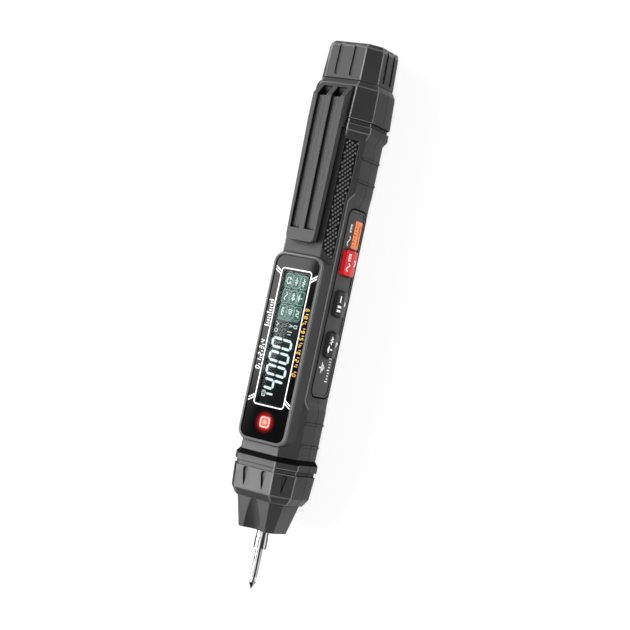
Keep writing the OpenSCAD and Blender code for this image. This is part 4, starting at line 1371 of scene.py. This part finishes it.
@dataclass
class PocketClip:
    """The clip as one springy moulding, from its ramp to the end of its arm."""

    tail_y: float = 84.65
    ramp: float = 5.0
    hinge_y: float = 69.15
    end_y: float = 26.25
    foot_z: float = 27.55
    ramp_z: float = 27.7
    top_z: float = 32.15
    end_z: float = 31.35
    thick: float = 2.5
    half: float = 6.7
    end_half: float = 5.9
    corner: float = 1.8
    channel: Point2 = (1.1, 4.8)
    channel_depth: float = 1.05
    channel_end_y: float = 30.75
    ledge_w: float = 1.7
    ledge_depth: float = 0.3
    pocket: Point2 = (79.4, 83.4)
    pocket_z: float = 28.2
    bevel: float = 0.2

    def top(self, y: float) -> float:
        """Height of the top face at a place along the arm."""
        share = min(max((self.hinge_y - y) / (self.hinge_y - self.end_y), 0.0), 1.1)
        return self.top_z + (self.end_z - self.top_z) * share

    def _side(self) -> bmesh.types.BMesh:
        """The side outline.

        Returns:
            Its mesh, as wide as the clip.
        """
        outline = [(self.tail_y, self.foot_z), (self.tail_y, self.ramp_z),
                   (self.tail_y - self.ramp, self.top_z), (self.hinge_y, self.top_z),
                   (self.end_y, self.end_z), (self.end_y, self.end_z - self.thick),
                   (self.hinge_y, self.top_z - self.thick), (self.hinge_y, self.foot_z)]
        return MeshMaker.profile(outline, -self.half, 2 * self.half)

    def _plan(self) -> bmesh.types.BMesh:
        """The outline from above.

        Returns:
            Its mesh, taller than the clip.
        """
        right = [(self.half, self.tail_y + 1.0), (self.half, self.hinge_y)]
        right += [(self.end_half, self.end_y + self.corner)]
        middle = (self.end_half - self.corner, self.end_y + self.corner)
        right += arc(middle, self.corner, 0, -90, 8)[1:]
        left = [(-x, y) for x, y in reversed(right)]
        return MeshMaker.slab(right + left, self.foot_z - 1.0, self.top_z + 1.0)

    def _cutters(self) -> Iterable[bmesh.types.BMesh]:
        """What is cut out.

        Returns:
            Two channels with their ledges, and the pockets in the ramp.
        """
        inner, outer = self.channel
        above, tail = self.top_z + 2.0, self.pocket[0] + 0.3
        for low in (inner, -outer):
            for width, depth in ((outer - inner, self.channel_depth - self.ledge_depth),
                                 (self.ledge_w, self.channel_depth)):
                yield MeshMaker.profile([
                    (self.channel_end_y, above), (tail, above), (tail, self.top_z - depth),
                    (self.hinge_y, self.top_z - depth),
                    (self.channel_end_y, self.top(self.channel_end_y) - depth)], low, width)
            yield MeshMaker.profile([
                (self.pocket[0], above), (self.pocket[1], above),
                (self.pocket[1], self.pocket_z), (self.pocket[0], self.pocket_z)], low, outer - inner)

    def build(self) -> None:
        """Makes the clip, whose arm turns down where it leaves the root."""
        bm = MeshMaker.boolean(self._side(), self._plan(), Cut.TRIM)
        for cutter in self._cutters():
            bm = MeshMaker.boolean(bm, cutter, Cut.AWAY)
        MeshMaker.bevel(bm, self.bevel, least=0.25, turn=25.0)
        made = MeshMaker.piece(bm, "pocket_clip", Finish.CLIP, Slot.HOUSING)
        # The clip leaves the body it was given and stays at the frame's origin.
        made.parent = None
        made.matrix_world = Matrix.Identity(4)
        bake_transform(made)
        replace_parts(made, "clip_root", "clip_arm")


@dataclass
class GripPanels:
    """Knurled studs on the two grip pads."""

    edge_x: float = 7.6014
    top_z: float = 27.35
    tail_y: float = 66.75
    slope: float = 55.7573
    start: float = 1.2
    low: float = 0.4
    wide: float = 5.7
    narrow: float = 5.0
    step_y: float = 20.0
    end: float = 45.1
    slant: float = 3.4
    lattice: tuple[Point2, Point2] = ((0.865, -0.878), (0.373, 1.401))
    lattice_half: int = 60
    lattice_inset: float = 0.3
    stud: float = 0.45
    long: float = 1.2
    height: float = 0.3
    rings: Sequence[Point2] = ((1.0, -0.05), (0.8, 0.6), (0.42, 0.93))

    def _inside(self, u: float, v: float, margin: float) -> bool:
        """Whether a stud fits on the pad.

        Args:
            u: place across the pad, from the front edge.
            v: place along it, from the tail.
            margin: room that the stud needs.

        Returns:
            True if it fits.
        """
        far = self.wide if v < self.step_y else self.narrow
        last = self.end - self.slant * (1 - (u - self.low) / (self.narrow - self.low))
        return self.low + margin < u < far - margin and self.start + margin < v < last - margin

    def build(self) -> None:
        """Adds the studs of both pads."""
        angle = math.radians(self.slope)
        (a, b), (c, d) = self.lattice
        span = range(-self.lattice_half, self.lattice_half)
        for side, name in ((1, "knurl_right"), (-1, "knurl_left")):
            across = Vector((side * math.cos(angle), 0, -math.sin(angle)))
            out = Vector((side * math.sin(angle), 0, math.cos(angle)))
            corner = Vector((side * self.edge_x, self.tail_y, self.top_z))
            bm = bmesh.new()
            for i in span:
                for j in span:
                    u = self.low + self.lattice_inset + i * a + j * c
                    v = self.start + i * b + j * d
                    if self._inside(u, v, self.stud * 0.7):
                        self._stud(bm, corner + across * u - Vector((0, v, 0)), across, out)
            # The studs' lighter finish is a painted highlight.
            MeshMaker.piece(bm, name, Finish.KNURL_STUD, Slot.GRIP, smooth=60.0)

    def _stud(self, bm: bmesh.types.BMesh, place: Vector, across: Vector, out: Vector) -> None:
        """Adds one domed stud.

        Args:
            bm: the mesh to add to.
            place: its middle on the pad.
            across: direction across the pad.
            out: direction away from it.
        """
        way = (across * self.lattice[0][0] - Vector((0, self.lattice[0][1], 0))).normalized()
        aside = way.cross(out)
        turns = [math.radians(60 * k) for k in range(6)]
        rings = [[bm.verts.new(place + (way * math.cos(a) * self.long + aside * math.sin(a))
                               * self.stud * reach + out * self.height * rise) for a in turns]
                 for reach, rise in self.rings]
        top = bm.verts.new(place + out * self.height)
        for k in range(6):
            m = (k + 1) % 6
            for low, high in zip(rings, rings[1:]):
                bm.faces.new((low[k], low[m], high[m], high[k]))
            bm.faces.new((rings[-1][k], rings[-1][m], top))
        bm.faces.new(list(reversed(rings[0])))


@dataclass
class Display:
    """Window with its clear pane, the panel's lit marks and the printed frame."""

    nodes: dict[str, bpy.types.Object]
    middle_y: float = -12.8
    size: Point2 = (18.3, 66.8)
    corner: float = 3.0
    top_z: float = 28.0
    floor_z: float = 26.5
    pane: tuple[Point2, Point2] = ((-5.3, -33.35), (5.3, 15.1))
    pane_lap: float = 0.03
    pane_drop: float = 0.01
    lens_size: Point2 = (4.6, 4.4)
    lens_corner: float = 1.1
    panel_z: float = 26.4
    shift_y: float = 11.15
    parallax: float = -0.76
    ink: float = 0.02
    print_ink: float = 0.015
    reading: Sequence[int] = (4, 0, 0, 0)
    digit_starts: Sequence[float] = (-39.7, -34.6, -29.6, -24.6)
    digit_foot: float = -4.5
    digit_size: Point2 = (4.0, 8.8)
    digit_weight: float = 0.92
    digit_slant: float = 0.07
    first_bar: tuple[Point2, Point2] = ((-41.2, -0.7), (-40.5, 1.9))
    divider: tuple[Point2, Point2] = ((-13.75, -4.8), (-13.5, 4.4))
    modes: Sequence[Sequence[Symbol]] = ((Symbol.DIRECT, Symbol.ALTERNATING, Symbol.OHM),
                                         (Symbol.SOUND, Symbol.DIODE, Symbol.CAPACITOR),
                                         (Symbol.PULSE, Symbol.FIELD, Symbol.ZIGZAG))
    mode_rows: Sequence[float] = (2.5, -0.75, -3.85)
    mode_columns: Sequence[float] = (-10.7, -5.1, 0.6)
    mode_half: Point2 = (1.65, 0.92)
    mode_width: float = 0.36
    box_size: Point2 = (4.9, 2.8)
    box_corner: float = 0.75
    box_width: float = 0.3
    fill_size: Point2 = (4.5, 2.4)
    fill_corner: float = 0.6
    units: Sequence[tuple[Symbol, Point2, Point2, float]] = (
        (Symbol.VOLT, (-15.4, -2.3), (0.8, 0.9), 0.32), (Symbol.OHM, (-15.5, -4.2), (0.8, 0.8), 0.28))
    strokes: Sequence[tuple[Sequence[Point2], float, bool]] = (
        (((-18.6, -2.9), (-18.6, -1.6)), 0.3, False), (((-17.6, -3.2), (-17.6, -1.3)), 0.3, False),
        (tuple(arc((-17.8, 3.5), 0.62, 0, 360, 14)[:-1]), 0.26, True),
        (((-15.6, 2.7), (-14.6, 4.2)), 0.26, False), (((-16.2, 3.9), (-15.4, 2.9)), 0.26, False),
        (tuple(rounded_path((-41.0, 3.1), (2.0, 1.3), 0.25, 3)), 0.26, True),
        (((-41.4, 2.7), (-41.4, 3.5)), 0.28, False), (((-40.6, 2.7), (-40.6, 3.5)), 0.28, False))
    frame_middle: Point2 = (0, -20.2)
    frame_size: Point2 = (12.6, 50.0)
    frame_corner: float = 1.1
    frame_width: float = 0.4
    corner_marks: Sequence[Point3] = ((-1, 5.0, 1), (1, 3.9, 1), (-1, -44.5, -1), (1, -44.5, -1))
    corner_ends: Point2 = (8.9, 6.5)
    corner_rise: float = 1.6
    corner_pitch: float = 1.05
    corner_width: float = 0.42
    scale_ticks: tuple[Point2, float, float] = ((-17.0, 6.9), 0.93, 0.4)
    scale_heights: Sequence[float] = ((2.0,) + (1.2,) * 4) * 2 + (2.0,)
    white_row: NumberRow = NumberRow(5, (-33.0, 6.9), 2.4, (1.2, 2.0), 0.34, 0.12, 1.75, 0.9)
    gold_row: NumberRow = NumberRow(10, (-33.0, -8.55), 2.62, (1.15, 1.75), 0.36, 0.1, 1.65, 1.0)

    def build(self) -> None:
        """Makes the window, the panel's face and all its marks."""
        self._window()
        self._panel()
        self._print()

    def _window(self) -> None:
        """The black surround with its two openings, and the clear pane."""
        bm = MeshMaker.slab(rounded_path((0, self.middle_y), self.size, self.corner, 9), self.floor_z,
                            self.top_z)
        for opening in (box(*self.pane), rounded_path(LENS_PLACE, self.lens_size, self.lens_corner)):
            cutter = MeshMaker.slab(opening, self.floor_z - 1, self.top_z + 1)
            bm = MeshMaker.boolean(bm, cutter, Cut.AWAY)
        mask = MeshMaker.piece(bm, "window_surround", Finish.WINDOW, Slot.WINDOW)
        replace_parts(mask, "display_window")
        # The pane laps into the surround, because a free wall would mirror the digits.
        bm = MeshMaker.slab(box(*self.pane, self.pane_lap), self.floor_z, self.top_z - self.pane_drop)
        MeshMaker.piece(bm, "window_pane", Finish.PANE, Slot.WINDOW)

    def _panel(self) -> None:
        """The panel's face and its lit marks, read from the tip to the tail."""
        faces = self.nodes["lcd_panel"].data.materials
        faces.clear()
        faces.append(Finish.PANEL.material())
        sheet = Sheet(Vector((self.parallax, self.shift_y, self.panel_z)), *READ_FRONT)
        digits, icons = MarkPen(sheet, self.ink, 0.01), MarkPen(sheet, self.ink, 0.03)
        boxes, fills = MarkPen(sheet, self.ink, 0.02), MarkPen(sheet, self.ink / 2, 0.005)
        for number, start in zip(self.reading, self.digit_starts):
            digits.digit(number, (start, self.digit_foot), self.digit_size, self.digit_weight,
                         self.digit_slant)
        digits.bar(*self.first_bar)
        for row, t in zip(self.modes, self.mode_rows):
            for symbol, s in zip(row, self.mode_columns):
                outline = rounded_path((s, t), self.box_size, self.box_corner, 4)
                boxes.line(outline, self.box_width, True)
                fills.fill(rounded_path((s, t), self.fill_size, self.fill_corner, 4))
                symbol.draw(icons, (s, t), self.mode_half, self.mode_width)
        boxes.bar(*self.divider)
        for symbol, *where in self.units:
            symbol.draw(icons, *where)
        for stroke in self.strokes:
            icons.line(*stroke)
        digits.piece("display_digits", Finish.SEGMENT, Slot.PANEL)
        icons.piece("display_icons", Finish.ICON, Slot.PANEL)
        boxes.piece("display_boxes", Finish.ICON_GREEN, Slot.PANEL)
        fills.piece("display_fills", Finish.ICON_FILL, Slot.PANEL)

    def _print(self) -> None:
        """The printed frame, corner marks and scales on the window."""
        middle = Vector((0, self.shift_y, self.top_z))
        white = MarkPen(Sheet(middle, TO_BUTTONS, TO_TAIL), self.print_ink)
        white.line(rounded_path(self.frame_middle, self.frame_size, self.frame_corner, 5),
                   self.frame_width, True)
        far, near = self.corner_ends
        for x, y, way in self.corner_marks:
            for top in (y, y - self.corner_pitch * way):
                white.line([(x * far, top), (x * near, top - self.corner_rise * way)],
                           self.corner_width)
        white.piece("window_frame_print", Finish.WHITE_INK, Slot.WINDOW)
        scale, gold = (MarkPen(Sheet(middle, *READ_FRONT), self.print_ink) for _ in range(2))
        scale.ticks(*self.scale_ticks, self.scale_heights)
        self.white_row.draw(scale)
        scale.piece("window_scale_print", Finish.WHITE_INK, Slot.WINDOW)
        self.gold_row.draw(gold)
        gold.piece("window_gold_print", Finish.GOLD_INK, Slot.WINDOW)


@dataclass
class Controls:
    """The three buttons, their plate and what is printed there."""

    nodes: dict[str, bpy.types.Object]
    core_z: float = 12.95
    recess_x: float = 11.2
    plate_floor: float = 10.9
    roof: float = 0.45
    key_half: float = 3.3
    power_half: float = 3.85
    power_peak: float = 12.95
    key_peak: float = 12.75
    power_y: float = 22.45
    hold_y: float = 7.25
    sense_y: float = -7.95
    key_bevel: float = 0.2
    plate_bevel: float = 0.12
    shade_line_middle: Point2 = (7.25, 12.95)
    shade_line_size: Point2 = (69.5, 12.9)
    shade_line_corner: float = 3.2
    shade_line_width: float = 0.6
    shade_line_thick: float = 0.08
    shade_line_sink: float = 0.01
    symbol_ink: float = 0.03
    lower_middle: Point2 = (0.3, 0.35)
    lower_half: Point2 = (1.5, 1.3)
    lower_width: float = 0.42
    upper_symbols: Sequence[tuple[Body, Symbol, Point2, Point2, float]] = (
        (Body.POWER, Symbol.ALTERNATING, (-1.5, 0.0), (1.6, 1.5), 0.5),
        (Body.POWER, Symbol.DIRECT, (2.0, 0.0), (1.5, 1.4), 0.5),
        (Body.SENSE, Symbol.FIELD, (-1.6, 0.0), (1.5, 1.4), 0.46),
        (Body.SENSE, Symbol.ZIGZAG, (1.6, 0.0), (1.6, 1.3), 0.46))
    hold_bars: tuple[Point2, float, float, Sequence[float]] = ((-2.9, -1.1), 1.5, 0.8, (2.2, 2.2))
    hold_line: tuple[Sequence[Point2], float] = (((0.5, 0.0), (3.0, 0.0)), 0.55)
    sticker_middle: Point2 = (33.1, 10.3)
    sticker_size: Point2 = (10.2, 5.0)
    sticker_corner: float = 0.5
    sticker_thick: float = 0.08
    sticker_line: tuple[Sequence[Point2], float] = (((29.2, 9.2), (36.8, 9.2)), 0.5)
    sticker_ticks: tuple[Point2, float, float] = ((29.2, 11.0), 1.2, 0.4)
    print_ink: float = 0.02
    plate_ticks: tuple[Point2, float, float] = ((-21.5, 9.3), 1.05, 0.35)
    plate_symbols: Sequence[tuple[Symbol, Point2, Point2, float]] = (
        (Symbol.ALTERNATING, (30.4, 15.2), (2.0, 1.3), 0.36),
        (Symbol.DIRECT, (35.0, 15.2), (1.7, 1.2), 0.36),
        (Symbol.EARTH, (-16.6, 15.0), (2.4, 2.2), 0.5))
    sticker_heights: Sequence[float] = (0.7, 1.2) * 3 + (0.7,)
    plate_heights: Sequence[float] = ((1.9,) + (1.2,) * 3) * 2 + (1.9,)

    def build(self) -> None:
        """Makes the mouldings, their symbols, the plate's marks and a black line of painted shade
        round the plate.
        """
        plan = (
            ("power_button", "power_key_moulding", Finish.POWER, Slot.POWER, Body.POWER),
            ("hold_button", "hold_key_moulding", Finish.KEY, Slot.KEY, Body.HOLD),
            ("sense_button", "sense_key_moulding", Finish.KEY, Slot.KEY, Body.SENSE),
            ("side_plate", "plate_moulding", Finish.PLATE, Slot.PLATE, Body.HOUSING),
        )
        for node, name, finish, slot, body in plan:
            bm = MeshMaker.copy_node(self.nodes[node])
            plate = slot is Slot.PLATE
            MeshMaker.bevel(bm, self.plate_bevel if plate else self.key_bevel, least=0.3, turn=6.0)
            # The plate's bevels take the lighter edge finish, a painted highlight.
            edge = Finish.PAINTED_HIGHLIGHT if plate else None
            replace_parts(MeshMaker.piece(bm, name, finish, slot, body, 10.0, edge), node)
        self._symbols()
        self._plate_marks()
        # Painted shade: a black line on the recess floor round the plate, where the gap between them
        # lies in shadow.
        wall = Sheet(Vector((self.recess_x, 0, 0)), *READ_SIDE)
        shade_line = MarkPen(wall, self.shade_line_thick, -self.shade_line_sink)
        path = rounded_path(self.shade_line_middle, self.shade_line_size, self.shade_line_corner, 8)
        shade_line.line(path, self.shade_line_width, True)
        shade_line.piece("plate_shade_line", Finish.PAINTED_SHADE, Slot.PLATE)

    def _roof_pen(self, y: float, half: float, peak: float, side: int) -> MarkPen:
        """A pen for one slope of a button's roof, where marks read from the tip to the tail.

        Args:
            y: the button's middle.
            half: half its height.
            peak: how far out its crease stands.
            side: 1 for the slope on the display side, -1 for the other.

        Returns:
            The pen.
        """
        foot = Vector((peak - self.roof / 2, y, self.core_z + side * half / 2))
        up = Vector((-side * self.roof, 0, side * half)).normalized()
        return MarkPen(Sheet(foot, TO_TAIL, up * side), self.symbol_ink)

    def _symbols(self) -> None:
        """White symbols on the two slopes of each button."""
        power, key = (self.power_half, self.power_peak), (self.key_half, self.key_peak)
        plan = (
            ("power_symbol", Slot.POWER, Body.POWER, Symbol.POWER, (self.power_y, *power)),
            ("hold_symbol", Slot.KEY, Body.HOLD, Symbol.LAMP, (self.hold_y, *key)),
            ("sense_symbol", Slot.KEY, Body.SENSE, Symbol.SOUND, (self.sense_y, *key)),
        )
        for name, slot, body, symbol, place in plan:
            upper, lower = (self._roof_pen(*place, side) for side in (1, -1))
            for button, sign, *where in self.upper_symbols:
                if button is body:
                    sign.draw(upper, *where)
            if body is Body.HOLD:
                upper.ticks(*self.hold_bars)
                upper.line(*self.hold_line)
            upper.piece(name + "_upper", Finish.WHITE_INK, slot, body)
            symbol.draw(lower, self.lower_middle, self.lower_half, self.lower_width)
            lower.piece(name + "_lower", Finish.WHITE_INK, slot, body)

    def _plate_marks(self) -> None:
        """Sticker and white marks on the plate's floor."""
        plate = Sheet(Vector((self.plate_floor, 0, 0)), *READ_SIDE)
        sticker = MarkPen(plate, self.sticker_thick)
        sticker.fill(rounded_path(self.sticker_middle, self.sticker_size, self.sticker_corner, 4))
        sticker.piece("plate_sticker", Finish.STICKER, Slot.PLATE)
        marks = MarkPen(plate, self.print_ink, self.sticker_thick)
        marks.ticks(*self.sticker_ticks, self.sticker_heights)
        marks.line(*self.sticker_line)
        marks.piece("sticker_marks", Finish.DARK_INK, Slot.PLATE)
        white = MarkPen(plate, self.print_ink)
        for symbol, *where in self.plate_symbols:
            symbol.draw(white, *where)
        white.ticks(*self.plate_ticks, self.plate_heights)
        white.piece("plate_white_print", Finish.WHITE_INK, Slot.PLATE)


@dataclass
class Insides:
    """Finishes of the nodes that keep their CAD shape."""

    nodes: dict[str, bpy.types.Object]

    def build(self) -> None:
        """Dresses every carried-over node."""
        plan = {
            Finish.KNURL_BASE: ("grip_pad_right", "grip_pad_left"),
            Finish.LENS: ("indicator_lens", "indicator_led"),
            Finish.WHITE: ("backlight", "lcd_frame"),
            Finish.STRIP: ("contact_strips",),
            Finish.BOARD: ("main_board", "button_board"),
            Finish.BLACK: ("measuring_chip", "circuit_parts", "buzzer"),
            Finish.BRASS: ("sensing_antenna", "probe_contact", "socket_terminal"),
            Finish.CHROME: ("probe_sleeve", "probe_needle", "com_socket"),
            Finish.STEEL: ("tact_switches", "tail_contact", "battery_spring", "shell_screws"),
            Finish.JACKET: ("battery_cell_tail", "battery_cell_tip"),
        }
        for finish, names in plan.items():
            for name in names:
                materials = self.nodes[name].data.materials
                materials.clear()
                materials.append(finish.material())
                LOG.info("%s: %s", name, finish.value.name)


def posed(place: Vector, axes: Sequence[Vector]) -> Matrix:
    """A pose of its place, in metres, and its X, Y and Z directions."""
    turn = Matrix([[axis[i] for axis in axes] for i in range(3)]).to_4x4()
    return Matrix.Translation(place) @ turn


@dataclass(frozen=True)
class Lamp:
    """A rectangular light that the camera doesn't see, some metres from the pen."""

    name: str
    way: Point3
    distance: float
    size: Point2
    radiance: float

    def build(self) -> None:
        """Adds the light, which faces the pen."""
        back = Vector(self.way).normalized()
        across = TO_TAIL.cross(back).normalized()
        data = bpy.data.lights.new(self.name, "AREA")
        data.shape = "RECTANGLE"
        data.size, data.size_y = self.size
        data.energy = self.radiance * math.pi * self.size[0] * self.size[1]
        light = put(self.name, data)
        light.matrix_world = posed(back * self.distance, (across, back.cross(across), back))
        light.visible_camera = False


@dataclass
class Studio:
    """Floor, lights, cards that the pen mirrors, and the camera."""

    lens: float = 95.586
    sensor: float = 36.0
    clip: Point2 = (0.01, 50.0)
    place: Point3 = (312.81, -10.67, 540.26)
    right: Point3 = (0.8445989, 0.2099753, -0.4925070)
    down: Point3 = (0.1709524, -0.9774984, -0.1235805)
    ahead: Point3 = (-0.5073737, 0.0201807, -0.8614898)
    world_light: float = 0.3
    floor_half: float = 6.0
    floor_drop: float = 0.0002
    edge: tuple[Point2, Point2] = ((-413.0, 62.0), (-446.0, -94.0))
    edge_z: float = 728.0
    main_width: float = 550.0
    main_half: float = 620.0
    main_foot: float = 480.0
    target: Point3 = (0.0, 0.0, 20.0)
    lamps: Sequence[Lamp] = (Lamp("edge_light", (0.432, 0.0, 0.903), 1.1, (0.10, 1.1), 26.0),
                             Lamp("fill_light", (0.9, -0.15, 0.42), 1.3, (0.5, 0.9), 2.8))
    card_x: float = 150.0
    card_y: float = -260.0
    card_half: float = 700.0
    card_height: float = 420.0
    card_width: float = 330.0
    card_lift: float = 0.5
    left_card: Point3 = (-16.0, -60.0, 100.0)
    right_card: Point3 = (18.0, 130.0, 130.0)

    def build(self) -> None:
        """Sets the studio up."""
        self._camera()
        self._floor()
        self._world()
        self._main_light()
        for lamp in self.lamps:
            lamp.build()
        self._cards()
        bpy.context.scene.view_settings.view_transform = "Standard"

    def _camera(self) -> None:
        """Camera at the photograph's place."""
        data = bpy.data.cameras.new("camera")
        data.lens, data.sensor_width = self.lens, self.sensor
        data.clip_start, data.clip_end = self.clip
        camera = put("camera", data)
        axes = (Vector(self.right), -Vector(self.down), -Vector(self.ahead))
        camera.matrix_world = posed(Vector(self.place) * MM, axes)
        bpy.context.scene.camera = camera

    def _floor(self) -> None:
        """Pale floor that keeps the shadow."""
        bm = bmesh.new()
        bmesh.ops.create_grid(bm, x_segments=8, y_segments=8, size=self.floor_half)
        floor = put_mesh("floor", bm, Finish.FLOOR)
        floor.location = (0, 0, -self.floor_drop)

    def _world(self) -> None:
        """Even light all round, and a white background."""
        world = bpy.data.worlds.new("studio")
        bpy.context.scene.world = world
        sky = Tree(world)
        level = sky.seen() * (1.0 - self.world_light) + self.world_light
        back = sky.wire("ShaderNodeBackground", 0, {}, {"Color": LIGHT, "Strength": level})
        sky.node("ShaderNodeOutputWorld", {}, {"Surface": back})

    def _edge(self) -> tuple[Vector, Vector]:
        """The near edge of the main light: its middle and its direction toward the tail."""
        a, b = (Vector((*place, self.edge_z)) for place in self.edge)
        return (a + b) / 2, (a - b).normalized()

    def _main_light(self) -> None:
        """Soft box on the left, whose near edge shows in the window."""
        middle, along = self._edge()
        toward = Vector(self.target) - middle
        back = -(toward - along * toward.dot(along)).normalized()
        head, foot = middle + along * self.main_half, middle - along * self.main_foot
        out = -along.cross(back) * self.main_width
        self._plane("soft_box", (head, foot - head, out), Finish.SOFT_BOX)

    @staticmethod
    def _plane(name: str, shape: Sequence[Vector], finish: Finish, mirror_only: bool = False) -> None:
        """Adds a flat stage piece that the camera doesn't see.

        Args:
            name: its name.
            shape: one corner and its two sides, in mm.
            finish: its finish.
            mirror_only: True if it shows in reflections alone.
        """
        corner, a, b = shape
        places = (corner, corner + a, corner + a + b, corner + b)
        bm = bmesh.new()
        bm.faces.new([bm.verts.new(place * MM) for place in places])
        plane = put_mesh(name, bm, finish)
        plane.visible_camera = False
        plane.visible_diffuse = plane.visible_shadow = not mirror_only

    def _cards(self) -> None:
        """Cards that the pen's slopes and the probe mirror."""
        middle, along = self._edge()
        x, y, half, high = self.card_x, self.card_y, self.card_half, self.card_height
        plan = (
            ("dark_card_side", Finish.DARK_CARD, ((x, -half, 0), (0, 2 * half, 0), (0, 0, high))),
            ("dark_card_tip", Finish.DARK_CARD, ((-half, y, 0), (x + half, 0, 0), (0, 0, high))),
            ("dark_card_left", Finish.DARK_CARD, self._lying(*self.left_card)),
            ("grey_card_right", Finish.GREY_CARD, self._lying(*self.right_card)),
            ("dark_card_over", Finish.DARK_CARD,
             (middle - along * half, along * 2 * half, (self.card_width, 0, 0))),
        )
        for name, finish, shape in plan:
            self._plane(name, [Vector(part) for part in shape], finish, True)

    def _lying(self, near: float, far: float, half: float) -> Sequence[Point3]:
        """A card that lies beside the pen, from X = near to far and half as long each way."""
        return (near, -half, self.card_lift), (far - near, 0, 0), (0, 2 * half, 0)


def main() -> None:
    """Builds the pen and its studio in order."""
    logging.basicConfig(level=logging.INFO, format="%(name)s %(message)s")
    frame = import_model()
    nodes = frame["nodes"]
    for part in (Studio(), Insides(nodes), Housing(nodes), PocketClip(), GripPanels(), Display(nodes),
                 Controls(nodes)):
        part.build()
        LOG.info("%s done", type(part).__name__)


if __name__ == "__main__":
    main()
